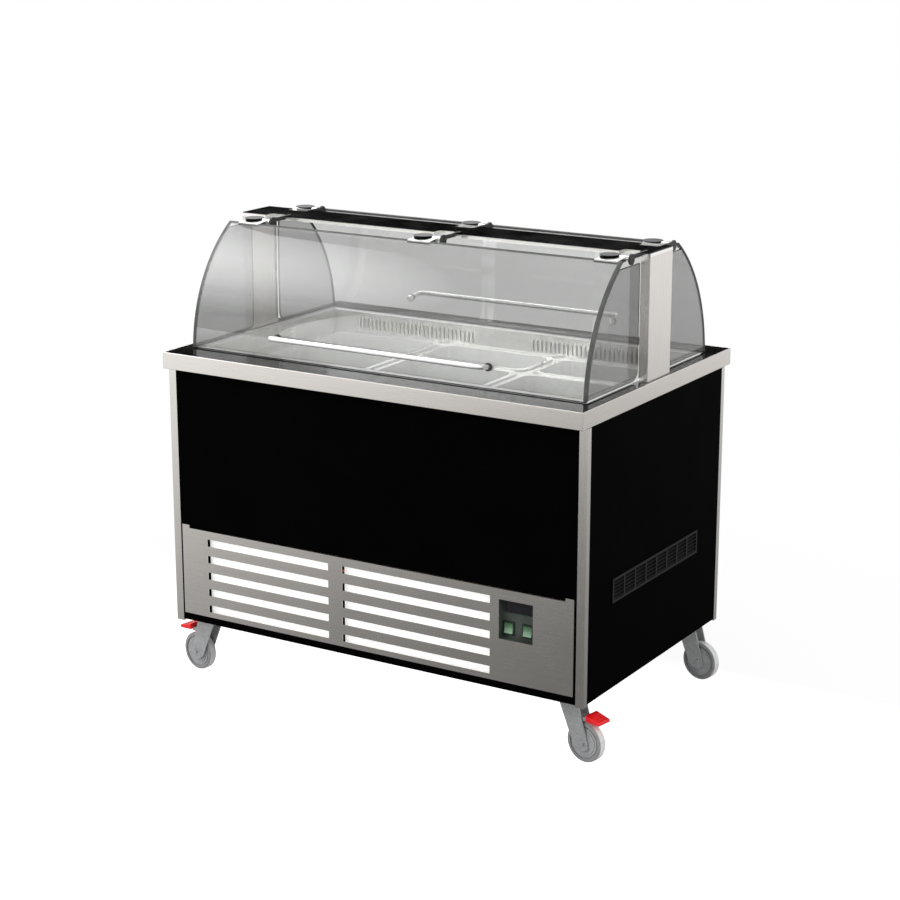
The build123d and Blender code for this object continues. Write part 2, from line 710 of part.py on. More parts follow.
def guard_cheek():
    """Flat glass end, a little inside the curved glass."""
    radius = GLASS_RADIUS - GLASS / 2 - TRIM_GAP
    centre_y, centre_z = GLASS_CENTRE

    def arc_y(z):
        return centre_y - sqrt(radius ** 2 - (z - centre_z) ** 2)

    low = (arc_y(CHEEK_BOTTOM), CHEEK_BOTTOM)
    high = (arc_y(CHEEK_TOP), CHEEK_TOP)
    middle_z = (CHEEK_BOTTOM + CHEEK_TOP) / 2
    curve = ThreePointArc(high, (arc_y(middle_z), middle_z), low)
    corner = (CHEEK_REAR, CHEEK_BOTTOM + CHEEK_CORNER)
    floor = Line(low, (CHEEK_REAR - CHEEK_CORNER, CHEEK_BOTTOM))
    turn = RadiusArc(floor @ 1, corner, -CHEEK_CORNER)
    rear = Line(corner, (CHEEK_REAR, CHEEK_TOP))
    top = Line(rear @ 1, high)
    face = make_face([curve, floor, turn, rear, top])
    return Pos(CHEEK_X[0], 0, 0) * extrude(Plane.YZ * face, amount=CHEEK_X[1] - CHEEK_X[0])


def handle_leg(x, inside, outside, radius):
    """Round leg square to the glass, between two depths from the glass centre line."""
    depth = (inside + outside) / 2
    y, z = on_glass(HANDLE_ANGLE, GLASS_RADIUS + depth)
    return Pos(x, y, z) * Rot(HANDLE_ANGLE - 90, 0, 0) * Cylinder(radius, outside - inside)


def guard_handle():
    """Bent rod on two legs, with a stud, washers and a nut at each leg."""
    face = GLASS / 2
    foot_y, foot_z = on_glass(HANDLE_ANGLE, GLASS_RADIUS + face + WASHER)
    grip_y, grip_z = on_glass(HANDLE_ANGLE, GLASS_RADIUS + face + HANDLE_STANDOFF)
    x = HANDLE_HALF
    rod = bent_rod(
        [(-x, foot_y, foot_z), (-x, grip_y, grip_z), (x, grip_y, grip_z), (x, foot_y, foot_z)],
        HANDLE_RADIUS,
        HANDLE_BEND,
    )
    nuts = []
    for end in (-x, x):
        rod += handle_leg(end, face + FIT, face + WASHER, WASHER_RADIUS)
        rod += handle_leg(end, -face - STUD_LENGTH, face + WASHER, STUD_RADIUS)
        nut = handle_leg(end, -face - NUT_LENGTH, -face - FIT, NUT_RADIUS)
        nuts.append(nut - handle_leg(end, -face - STUD_LENGTH, face, STUD_RADIUS + PRESS_GAP))
    return [rod] + nuts


# Castors, drawn at the origin with the wheel trailing along +X

def castor_plate():
    half = CASTOR_PLATE
    plate = block(-half, half, -half, half, BODY_BOTTOM - PLATE_SHEET, BODY_BOTTOM)
    plate += rod_z(0, 0, CROWN_LOW - HEAD_DEPTH, BODY_BOTTOM, KINGPIN)
    return plate + rod_z(0, 0, CROWN_LOW - HEAD_DEPTH, CROWN_LOW - FIT, KINGPIN_HEAD)


def castor_fork(braked):
    """Crown plate under the swivel race, with two cheeks that narrow towards the axle."""
    inside, outside = FORK_INSIDE, FORK_INSIDE + FORK_SHEET
    race_top = CROWN_TOP + RACE_HEIGHT - TRIM_GAP
    fork = block(*CROWN_X, -outside, outside, CROWN_LOW, CROWN_TOP)
    fork += rod_z(0, 0, CROWN_TOP, race_top, BEARING_RADIUS)
    outline = [
        (CROWN_X[0], CROWN_TOP),
        (CROWN_X[1], CROWN_TOP),
        (TRAIL + AXLE_BOSS, WHEEL_RADIUS),
        (TRAIL - AXLE_BOSS, WHEEL_RADIUS),
    ]
    for y0, y1 in ((-outside, -inside), (inside, outside)):
        fork += front_solid(outline, y0, y1)
        fork += rod_y(TRAIL, y0, y1, WHEEL_RADIUS, AXLE_BOSS)
    fork -= rod_z(0, 0, CROWN_LOW, race_top, KINGPIN + RUNNING_GAP)
    fork -= rod_y(TRAIL, -outside, outside, WHEEL_RADIUS, AXLE_RADIUS + PRESS_GAP)
    if braked:
        fork -= rod_y(PEDAL_PIVOT[0], -outside, outside, PEDAL_PIVOT[1], PEDAL_PIN + RUNNING_GAP)
    return fork


def castor_axle():
    outside = FORK_INSIDE + FORK_SHEET
    end = outside + AXLE_END
    axle = rod_y(TRAIL, -end, end, WHEEL_RADIUS, AXLE_RADIUS)
    for y0, y1 in ((-end, -outside), (outside, end)):
        axle += rod_y(TRAIL, y0, y1, WHEEL_RADIUS, AXLE_HEAD)
    return axle


def castor_wheel():
    tread = rod_y(TRAIL, -WHEEL_HALF, WHEEL_HALF, WHEEL_RADIUS, WHEEL_RADIUS)
    wheel = fillet(tread.edges().filter_by(GeomType.CIRCLE), TREAD_ROUND)
    for y0, y1 in ((-WHEEL_HALF, RIM_DEPTH - WHEEL_HALF), (WHEEL_HALF - RIM_DEPTH, WHEEL_HALF)):
        wheel -= rod_y(TRAIL, y0, y1, WHEEL_RADIUS, RIM_RADIUS)
    hub = FORK_INSIDE - TRIM_GAP
    wheel += rod_y(TRAIL, -hub, hub, WHEEL_RADIUS, HUB_RADIUS)
    return wheel - rod_y(TRAIL, -FORK_INSIDE, FORK_INSIDE, WHEEL_RADIUS, AXLE_RADIUS + RUNNING_GAP)


def brake_pedal():
    """Lever between the fork plates, with a wide sloping tread behind them."""
    lever = front_solid(PEDAL_LEVER, -LEVER_HALF, LEVER_HALF)
    tread = front_solid(PEDAL_TREAD, -TREAD_HALF, TREAD_HALF)
    reach = FORK_INSIDE + FORK_SHEET
    return lever + tread + rod_y(PEDAL_PIVOT[0], -reach, reach, PEDAL_PIVOT[1], PEDAL_PIN)


def castor_places():
    """Name, place and turn of each castor: the right pair trail to +X, the left pair to -X."""
    places = {}
    for side, x, turn in (("left", -CASTOR_X, 180 - TRAIL_ANGLE), ("right", CASTOR_X, -TRAIL_ANGLE)):
        for end, y in (("front", CASTOR_FRONT), ("rear", CASTOR_REAR)):
            places[end + "_" + side] = (Pos(x, y, 0), Rot(0, 0, turn))
    return places


# Refrigeration unit

def condenser():
    """Finned core between two end plates."""
    x0, x1 = CONDENSER_X
    y0, y1 = CONDENSER_Y
    z0, z1 = CONDENSER_Z
    front = y0 + CORE_INSET
    core = block(x0, x1, front, y1 - CORE_INSET, z0 + CORE_INSET, z1 - CORE_INSET)
    inside, outside = x0 + CORE_GROOVE, x1 - CORE_GROOVE
    for row in range(CORE_ROWS):
        z = z0 + STRUT + CORE_INSET + row * CORE_PITCH
        core -= block(inside, outside, front, front + STRUT, z, z + CORE_GROOVE)
    for x in (x0 - CONDENSER_PLATE, x1):
        core += block(x, x + CONDENSER_PLATE, y0, y1, z0, z1)
    return core


def bladed_rotor(x, z, y0, y1, hub, radius):
    """Fan rotor turning about Y."""
    rotor = rod_y(x, y0, y1, z, hub)
    middle = (y0 + y1) / 2
    root = hub - BLADE_ROOT
    length = radius - root
    for step in range(FAN_BLADES):
        blade = Box(length, BLADE_SHEET, (y1 - y0) * BLADE_REACH)
        turn = Pos(x, middle, z) * Rot(0, step * 360 / FAN_BLADES, 0)
        rotor += turn * Pos(root + length / 2, 0, 0) * Rot(BLADE_PITCH, 0, 0) * blade
    return rotor


def fan_shroud():
    """Cowl behind the condenser with struts that carry the fan motor."""
    x0, x1 = CONDENSER_X
    z0, z1 = CONDENSER_Z
    wall = COWL_SHEET
    y0 = CONDENSER_Y[1] + TRIM_GAP
    y1 = y0 + COWL_DEPTH
    cowl = block(x0, x1, y0, y1, z0, z1)
    cowl -= block(x0 + wall, x1 - wall, y0, y1 - wall, z0 + wall, z1 - wall)
    mouth = FAN_RADIUS + FAN_SETBACK
    cowl -= rod_y(FAN_X, y0, y1, FAN_Z, mouth)
    for turn in (45, 135):
        strut = Box(2 * (mouth + COWL_SHEET), wall, STRUT)
        cowl += Pos(FAN_X, y1 - wall / 2, FAN_Z) * Rot(0, turn, 0) * strut
    cowl += rod_y(FAN_X, y1 - wall, y1 + MOTOR_LENGTH, FAN_Z, MOTOR_RADIUS)
    return cowl - rod_y(FAN_X, y1 - wall, y1 + MOTOR_LENGTH / 2, FAN_Z, PIN_RADIUS + RUNNING_GAP)


def condenser_fan():
    y0 = CONDENSER_Y[1] + FAN_SETBACK
    rotor = bladed_rotor(FAN_X, FAN_Z, y0, y0 + FAN_DEPTH, FAN_HUB, FAN_RADIUS)
    return rotor + rod_y(FAN_X, y0, y0 + COWL_DEPTH, FAN_Z, PIN_RADIUS)


def compressor():
    """Sealed pot on a foot plate."""
    x, y = COMPRESSOR_AT
    wide, deep = FOOT_HALF
    floor = BODY_BOTTOM + BASE_SHEET + FIT
    feet = block(x - wide, x + wide, y - deep, y + deep, floor, floor + FOOT_HEIGHT)
    pot = rod_z(x, y, floor + FOOT_HEIGHT, floor + COMPRESSOR_HEIGHT, COMPRESSOR_RADIUS)
    top = pot.edges().group_by(Axis.Z)[-1]
    return feet + fillet(top, COMPRESSOR_DOME)


def refrigerant_pipes():
    """Hot pipe from pot to condenser, and cold pipe up to the evaporator."""
    pot_x, pot_y = COMPRESSOR_AT
    plate = CONDENSER_X[1] + CONDENSER_PLATE + TRIM_GAP
    edge = CONDENSER_X[1] + HOT_PIPE_REACH
    core_y = sum(CONDENSER_Y) / 2
    hot = [
        (pot_x + COMPRESSOR_RADIUS + TRIM_GAP, pot_y, HOT_PIPE_Z),
        (edge, pot_y, HOT_PIPE_Z),
        (edge, core_y, HOT_PIPE_Z),
        (plate, core_y, HOT_PIPE_Z),
    ]
    x, y = COOLER_PIPE_AT
    cold = [
        (plate, core_y, COLD_PIPE_Z),
        (x, core_y, COLD_PIPE_Z),
        (x, y, COLD_PIPE_Z),
        (x, y, WELL_FLOOR + COOLER_GAP - TRIM_GAP),
    ]
    return [bent_rod(route, PIPE_RADIUS, PIPE_BEND) for route in (hot, cold)]


def evaporator():
    """Finned cooler over the well floor."""
    low = WELL_FLOOR + COOLER_GAP
    top = low + COOLER_HEIGHT
    core = block(-COOLER_X, COOLER_X, *COOLER_Y, low, top)
    width, depth = COOLER_GROOVE
    for step in range(COOLER_GROOVES):
        x = (step - (COOLER_GROOVES - 1) / 2) * COOLER_PITCH
        core -= block(x - width / 2, x + width / 2, *COOLER_Y, top - depth, top)
    return core


def evaporator_fan_frame():
    """Square frame on the rear wall with a strut that carries the fan."""
    half = COOLER_FAN_RADIUS + COOLER_FRAME_RIM
    y0, y1 = WELL_Y - COOLER_FRAME_DEPTH, WELL_Y - FIT
    frame = block(-half, half, y0, y1, COOLER_FAN_Z - half, COOLER_FAN_Z + half)
    frame -= rod_y(0, y0, y1, COOLER_FAN_Z, COOLER_FAN_RADIUS + FAN_CLEARANCE)
    height, depth = COOLER_STRUT
    frame += centred(0, y1 - depth, y1, COOLER_FAN_Z, 2 * half, height)
    frame += rod_y(0, y1 - COOLER_BOSS, y1, COOLER_FAN_Z, COOLER_FAN_HUB)
    return frame - rod_y(0, y1 - COOLER_BOSS, y1, COOLER_FAN_Z, COOLER_SHAFT + RUNNING_GAP)


def evaporator_fan():
    y0 = WELL_Y - COOLER_FRAME_DEPTH + SHEET
    rotor = bladed_rotor(0, COOLER_FAN_Z, y0, y0 + COOLER_FAN_DEPTH, COOLER_FAN_HUB, COOLER_FAN_RADIUS)
    return rotor + rod_y(0, y0, WELL_Y - SHEET, COOLER_FAN_Z, COOLER_SHAFT)


def inlet_cut():
    x, z = INLET_CENTRE
    return centred(x, REAR_FACE - SHEET, REAR_FACE, z, *INLET_CUT)


def mains_inlet():
    """Appliance inlet in the rear panel."""
    x, z = INLET_CENTRE
    width, proud, height = INLET_FLANGE
    outside = [size - 2 * FIT for size in INLET_CUT]
    inside = [size - 2 * INLET_WALL for size in outside]
    inlet = centred(x, REAR_FACE, REAR_FACE + proud, z, width, height)
    inlet += centred(x, REAR_FACE - INLET_DEPTH, REAR_FACE, z, *outside)
    return inlet - centred(x, REAR_FACE - INLET_DEPTH + INLET_BACK, REAR_FACE + proud, z, *inside)


# Write every node

os.makedirs("parts", exist_ok=True)

save("base_tray", base_tray())
save("corner_posts", *corner_posts())
save("front_panel", front_panel())
save("side_panels", side_panel(), other_end(side_panel()))
save("rear_panel", rear_panel())
save("side_vents", side_vent(), other_end(side_vent()))
save("front_grille", front_grille())
save("filter_mats", *[filter_mat(*column) for column in SLOT_COLUMNS])

save("control_box", control_box())
save("thermostat", thermostat())
save("switch_frames", *[switch_frame(x) for x in SWITCH_CENTRES])
save("rocker_left", rocker(SWITCH_CENTRES[0]))
save("rocker_right", rocker(SWITCH_CENTRES[1]))

save("worktop_deck", worktop_deck())
save("worktop_edge", worktop_edge())
save("well_tub", well_tub())
save("well_insulation", well_insulation())
save("pan_frame", pan_frame())
for side, column in (("left", -PAN_PITCH), ("middle", 0), ("right", PAN_PITCH)):
    save("front_pan_" + side, pan(column, FRONT_ROW))
    save("rear_pan_" + side, pan(column, REAR_ROW))

save("gantry_posts", gantry_post(), other_end(gantry_post()))
save("gantry_tray", gantry_tray())
save("gantry_top", gantry_top())

front_brackets = [hinge_bracket(x) for x in HINGE_X]
front_clamps = [hinge_clamp(x) for x in HINGE_X]
front_cheeks = [guard_cheek(), other_end(guard_cheek())]
front_handle = guard_handle()
save("hinge_brackets", *front_brackets, *[other_side(piece) for piece in front_brackets])
save("front_glass", guard_glass())
save("rear_glass", other_side(guard_glass()))
save("front_cheeks", *front_cheeks)
save("rear_cheeks", *[other_side(piece) for piece in front_cheeks])
save("front_clamps", *front_clamps)
save("rear_clamps", *[other_side(piece) for piece in front_clamps])
save("front_handle", *front_handle)
save("rear_handle", *[other_side(piece) for piece in front_handle])

places = castor_places()
save("castor_plates", *[place * castor_plate() for place, turn in places.values()])
for name, (spot, turn) in places.items():
    place = spot * turn
    braked = name.startswith("front")
    save("fork_" + name, place * castor_fork(braked))
    save("axle_" + name, place * castor_axle())
    save("wheel_" + name, place * castor_wheel())
    if braked:
        save("brake_" + name, place * brake_pedal())

save("compressor", compressor())
save("condenser", condenser())
save("fan_shroud", fan_shroud())
save("condenser_fan", condenser_fan())
save("refrigerant_pipes", *refrigerant_pipes())
save("evaporator", evaporator())
save("evaporator_fan_frame", evaporator_fan_frame())
save("evaporator_fan", evaporator_fan())
save("mains_inlet", mains_inlet())
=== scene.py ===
from math import asin, atan2, cos, degrees, hypot, pi, radians, sin

import bpy
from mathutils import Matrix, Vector


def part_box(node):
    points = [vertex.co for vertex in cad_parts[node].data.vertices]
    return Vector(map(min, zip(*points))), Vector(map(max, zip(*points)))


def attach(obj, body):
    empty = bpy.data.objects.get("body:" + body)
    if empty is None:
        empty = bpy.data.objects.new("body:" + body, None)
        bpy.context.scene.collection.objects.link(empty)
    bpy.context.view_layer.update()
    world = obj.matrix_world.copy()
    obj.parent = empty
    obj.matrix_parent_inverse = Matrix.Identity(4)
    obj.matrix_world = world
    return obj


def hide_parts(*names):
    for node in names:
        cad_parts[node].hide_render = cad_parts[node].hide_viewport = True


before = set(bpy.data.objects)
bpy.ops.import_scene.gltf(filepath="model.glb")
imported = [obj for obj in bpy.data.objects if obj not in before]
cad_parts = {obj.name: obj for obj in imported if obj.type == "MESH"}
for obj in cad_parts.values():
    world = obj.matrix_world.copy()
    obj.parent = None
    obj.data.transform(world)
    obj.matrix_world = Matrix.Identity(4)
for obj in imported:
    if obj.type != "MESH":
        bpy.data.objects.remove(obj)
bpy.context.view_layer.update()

# Sizes of the buffet counter, in metres and degrees, in the frame's own axes

# Worktop edge
HALF_LENGTH = 0.585
HALF_DEPTH = 0.3865
WORKTOP_TOP = 0.850
EDGE_LOW = 0.809
EDGE_LIP = 0.004
EDGE_RETURN = 0.020
EDGE_ROUND = 0.0012

# Bent glass of a guard, round a centre in Y and Z
GUARD_SIDES = {"front": -1, "rear": 1}
PANE_RADIUS = 0.370
PANE_WALL = 0.006
PANE_HALF = 0.552
PANE_CENTRE = (0.064, 0.837)
PANE_TOP_ANGLE = 124.0
PANE_LOW_ANGLE = 177.85
PANE_STEPS = 56
PANE_GRIND = 0.0020
# Width of the band of painted shade along the pane's ends
PANE_SHADE_BAND = 0.009
PANE_CORE = 0.45 * PANE_WALL

# Flat glass ends of a guard
CHEEK_GAP = 0.0003
CHEEK_X = 0.5483
CHEEK_REAR = 0.056
CHEEK_LOW = 0.853
CHEEK_HIGH = 1.128
CHEEK_CORNER = 0.025
CHEEK_STEPS = 48
CHEEK_STRAIGHT = 0.3

# Handles
HANDLE_HALF = 0.295
HANDLE_LEGS = (-HANDLE_HALF, HANDLE_HALF)
HANDLE_ROD = 0.006
HANDLE_ANGLE = 170.0
HANDLE_STANDOFF = 0.042
HANDLE_BEND = 0.016
ROD_SIDES = 24
ROD_STEPS = 10
WASHER_RADIUS = 0.010
WASHER = 0.0025
WASHER_ROUND = 0.0007
NUT_RADIUS = 0.009
NUT_LENGTH = 0.010
NUT_DOME = 0.003

# Hinges
HINGE_X = (-0.500, 0.0, 0.500)
HINGE_Y = 0.108
HINGE_Z = 1.144
SHOE_X = (-0.020, 0.042)
SHOE_Y = 0.151
SHOE_Z = (1.1385, 1.1490)
SHOE_DROP = 0.004
SHOE_ROUND = 0.0015
BARREL_X = (-0.022, 0.0515)
BARREL_RADIUS = 0.007
CAP_Y = 0.110
CAP_RADIUS = 0.024
CAP_STEM = 0.005
CAP_Z = (1.1502, 1.1522)

# Gantry posts
GANTRY_HALF = 0.577
GANTRY_POST = 0.024
GANTRY_Y = 0.058
GANTRY_LOW = 1.143

# Food pans
PAN_PITCH = 0.339
PAN_COLUMNS = {"left": -PAN_PITCH, "middle": 0, "right": PAN_PITCH}
PAN_ROWS = {"front": (-0.272, 0.082), "rear": (0.096, 0.272)}
PAN_WIDTH = 0.325
PAN_RIM = 0.797
PAN_FLANGE = 0.013
PAN_LIP = 0.003
PAN_WALL = 0.0012
PAN_DEPTH = 0.100
PAN_NARROWING = 0.007
PAN_CORNER = 0.028
PAN_FLOOR_ROUND = 0.014

# Switches, over whose height the lens's painted shade runs, and the depths between which a side vent's
# frame ends and its painted highlight gives way to painted shade
ROCKER_Z = (0.288, 0.314)
VENT_STEP = (0.0015, 0.0005)

# Filter mats
MAT_BETWEEN = (-0.103, -0.077)
MAT_EDGE = 0.0025
MAT_CUTS = 36
FLEECE_LUMP = 0.016
FLEECE_DEPTH = 0.0014

# Castors
CASTOR_X = {"left": -0.531, "right": 0.531}
CASTOR_Y = {"front": -0.303, "rear": 0.317}
CASTOR_TURN = {"left": 170.0, "right": -10.0}
TRAIL = 0.036
WHEEL_RADIUS = 0.049
WHEEL_WIDTH = 0.022
WHEEL_SHOULDER = 0.004
WHEEL_SIDES = 64
RUNNING_SLOPE = 0.4
RIM_RADIUS = 0.0405
DISC_SINK = 0.0040
DISC_STEPS = ((0.004, 0.0022), (0.006, 0.0016), (0.008, 0.0010))
HUB_RADIUS = 0.012
HUB_RISE = 0.0012
FORK_HALF = 0.0165
FORK_SHEET = 0.003
FORK_X = (-0.034, 0.024)
FORK_FOOT = 0.029
FORK_FLAT = 0.0005
FORK_BOSS = 0.021
FORK_BEND = 0.005
FORK_ROUND = 0.0006
CROWN_TOP = 0.143
RACE_RADIUS = 0.024
RACE_HEIGHT = 0.0075
RACE_ROUND = 0.002
AXLE_HEAD = 0.004
AXLE_RADIUS = 0.007
AXLE_SIDES = 6

# Brake pedals
TREAD_X = (0.047, 0.088)
TREAD_HALF = 0.022
TREAD_Z = (0.1065, 0.1230)
TREAD_FALL = 0.0115
UNDERSIDE_SHARE = 0.25
TREAD_ROUND = 0.0034
BAR_SHARES = (0.3, 0.5, 0.7)
BAR_HALF = 0.0015
BAR_REACH = 0.017
BAR_SINK = 0.002
BAR_RISE = 0.0010
LEVER_X = (0.012, 0.050)
LEVER_HALF = 0.0125
LEVER_Z = (0.1015, 0.1120)
LEVER_ROUND = 0.002
LEVER_CLEAR = 0.0005

# Small edges, round pieces, and what counts as sharp, near, the same point or facing
FINE_ROUND = 0.0008
ROUND_SIDES = 48
SMALL_SIDES = 32
SHARP = 35
NEAR = 1e-4
WELD = 1e-6
FACING = 0.99


# Handling pieces

def let_go():
    """Leaves edit mode with nothing selected."""
    if bpy.context.mode != "OBJECT":
        bpy.ops.object.mode_set(mode="OBJECT")
    bpy.ops.object.select_all(action="DESELECT")


def take(piece):
    """Leaves edit mode with one piece selected."""
    let_go()
    piece.select_set(True)
    bpy.context.view_layer.objects.active = piece
    return piece


def settle(piece, name):
    """Names a piece and puts its place into its mesh."""
    piece.name = name
    piece.data.name = name
    take(piece)
    bpy.ops.object.transform_apply(location=True, rotation=True, scale=True)
    return piece


def block(name, low, high):
    """Box between two corners."""
    let_go()
    centre = [(a + b) / 2 for a, b in zip(low, high)]
    size = [abs(b - a) for a, b in zip(low, high)]
    bpy.ops.mesh.primitive_cube_add(size=1, location=centre, scale=size)
    return settle(bpy.context.object, name)


def drum(name, centre, radius, depth, axis="Z", sides=ROUND_SIDES):
    """Cylinder along an axis."""
    let_go()
    turn = {"X": (0, pi / 2, 0), "Y": (pi / 2, 0, 0), "Z": (0, 0, 0)}[axis]
    bpy.ops.mesh.primitive_cylinder_add(
        vertices=sides, radius=radius, depth=depth, location=centre, rotation=turn
    )
    return settle(bpy.context.object, name)


def pick(piece, kind, wanted):
    """Opens edit mode with the faces, edges or points that pass a test."""
    take(piece)
    bpy.ops.object.mode_set(mode="EDIT")
    bpy.ops.mesh.select_mode(type=kind)
    bpy.ops.mesh.select_all(action="DESELECT")
    bpy.ops.object.mode_set(mode="OBJECT")
    mesh = piece.data
    if kind == "FACE":
        for face in mesh.polygons:
            face.select = wanted(face.center, face.normal)
    if kind == "EDGE":
        for edge in mesh.edges:
            edge.select = wanted(*[mesh.vertices[i].co for i in edge.vertices])
    if kind == "VERT":
        for point in mesh.vertices:
            point.select = wanted(point.co)
    bpy.ops.object.mode_set(mode="EDIT")


def pick_all():
    """Picks the whole mesh that is open in edit mode."""
    bpy.ops.mesh.select_all(action="SELECT")


def extrude(move):
    """Extrudes what is picked by a move."""
    bpy.ops.mesh.extrude_region_move(TRANSFORM_OT_translate={"value": move})


def push_out(distance):
    """Extrudes the picked faces along their own normals."""
    bpy.ops.mesh.extrude_region_shrink_fatten(TRANSFORM_OT_shrink_fatten={"value": distance})


def all_outward(piece):
    """Merges doubled points and turns every face outwards."""
    take(piece)
    bpy.ops.object.mode_set(mode="EDIT")
    pick_all()
    bpy.ops.mesh.remove_doubles(threshold=WELD)
    bpy.ops.mesh.normals_make_consistent(inside=False)


def give_wall(piece, thickness, offset):
    """Turns a surface into a wall: offset 0 sets it on both sides, -1 on the inside."""
    take(piece)
    wall = piece.modifiers.new("wall", "SOLIDIFY")
    wall.thickness = thickness
    wall.offset = offset
    wall.use_even_offset = True
    bpy.ops.object.modifier_apply(modifier=wall.name)


def smooth(piece, angle=SHARP):
    """Shades a piece smooth except where it turns more than an angle."""
    take(piece)
    bpy.ops.object.shade_smooth_by_angle(angle=radians(angle))
    return piece


def ease(piece, width, segments, angle):
    """Bevels every edge that turns more than an angle."""
    take(piece)
    bevel = piece.modifiers.new("edge_round", "BEVEL")
    bevel.width = width
    bevel.segments = segments
    bevel.limit_method = "ANGLE"
    bevel.angle_limit = radians(angle)
    bpy.ops.object.modifier_apply(modifier=bevel.name)


def soften(piece, width, segments=2):
    """Rounds the sharp edges a little; the flat faces stay flat to the light."""
    ease(piece, width, segments, SHARP)
    smooth(piece)
    flat = piece.modifiers.new("flat_faces", "WEIGHTED_NORMAL")
    flat.keep_sharp = True
    bpy.ops.object.modifier_apply(modifier=flat.name)
    return piece


def join(name, pieces):
    """Makes one piece of several."""
    take(pieces[0])
    for piece in pieces[1:]:
        piece.select_set(True)
    bpy.ops.object.join()
    return settle(bpy.context.object, name)


def copy_of(piece, name):
    """Copies a piece together with its mesh."""
    take(piece)
    bpy.ops.object.duplicate()
    twin = bpy.context.object
    twin.name = name
    twin.data.name = name
    return twin


def put(piece, place, turn=(0, 0, 0)):
    """Sets a piece down at a place, turned."""
    piece.location = place
    piece.rotation_euler = turn
    return settle(piece, piece.name)


def dress(piece, finish, body, slot, *stands_for):
    """Gives a piece its finish, the body that carries it and the nodes it stands for."""
    piece.data.materials.clear()
    piece.data.materials.append(finish)
    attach(piece, body)
    if stands_for:
        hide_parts(*stands_for)
    return piece


def patch(piece, finish, wanted):
    """Gives the faces that pass a test a finish of their own."""
    piece.data.materials.append(finish)
    number = len(piece.data.materials) - 1
    for face in piece.data.polygons:
        if wanted(face.center, face.normal):
            face.material_index = number


# Making finishes: noise keeps mostly within a band, over which colours and roughness are spread

WHITE = (1, 1, 1, 1)
BAND = (0.3, 0.7)

# Features a metre in the textures of the finishes
GRAIN_FINE = 1400.0
GRAIN_LONG = 9.0
WIPING = 7.0
SCUFFS = 60.0
RIPPLES = 25.0
PEEL = 420.0
SHEET_CLOUDS = 5.0
TOP_CLOUDS = 9.0
TOP_WAVES = 40.0
SMEARS = 6.0
SKIN = 300.0
SKIN_CLOUDS = 30.0
MOTTLE = 140.0
LENS_HAZE = 90.0
LENS_SKIN = 900.0
STRANDS = (500.0, 300.0, 900.0)


def shade(red, green, blue):
    """A screen colour of 0 to 255 as the shader's linear colour."""
    linear = [((v / 255 + 0.055) / 1.055) ** 2.4 for v in (red, green, blue)]
    return (*linear, 1.0)


def add_node(tree, kind, operation=None, **values):
    """A shader node with some of its sockets set."""
    made = tree.nodes.new("ShaderNode" + kind)
    if operation:
        made.operation = operation
    for socket, value in values.items():
        made.inputs[socket.replace("_", " ")].default_value = value
    return made


def feed(tree, term, socket):
    """Sets a socket to a number, or links another socket to it."""
    if isinstance(term, float):
        socket.default_value = term
    else:
        tree.links.new(term, socket)


def reckon(tree, operation, *terms):
    """Arithmetic on numbers and sockets."""
    made = add_node(tree, "Math", operation)
    for number, term in enumerate(terms):
        feed(tree, term, made.inputs[number])
    return made.outputs["Value"]


def spread(tree, source, span, levels=(0.0, 1.0)):
    """Runs between two levels while its source runs over a span."""
    made = add_node(
        tree, "MapRange", From_Min=span[0], From_Max=span[1], To_Min=levels[0], To_Max=levels[1]
    )
    tree.links.new(source, made.inputs["Value"])
    return made.outputs["Result"]


def mix_values(tree, share, first, second):
    """Goes from the first value to the second by a share of 0 to 1."""
    made = add_node(tree, "Mix")
    feed(tree, share, made.inputs["Factor"])
    feed(tree, first, made.inputs["A"])
    feed(tree, second, made.inputs["B"])
    return made.outputs["Result"]


def mix_shaders(tree, share, first, second, output):
    """Shows the second shader by a share of 0 to 1, and the first for the rest."""
    made = add_node(tree, "MixShader")
    tree.links.new(share, made.inputs["Fac"])
    tree.links.new(first, made.inputs[1])
    tree.links.new(second, made.inputs[2])
    tree.links.new(made.outputs["Shader"], output.inputs["Surface"])


def along_axis(tree, vector, axis):
    """A vector's part along one axis."""
    parts = add_node(tree, "SeparateXYZ")
    tree.links.new(vector, parts.inputs["Vector"])
    return parts.outputs[axis]


def any_ray(tree, *kinds):
    """1 for a ray of any of these kinds."""
    rays = add_node(tree, "LightPath")
    found = rays.outputs[kinds[0]]
    for kind in kinds[1:]:
        found = reckon(tree, "MAXIMUM", found, rays.outputs[kind])
    return found


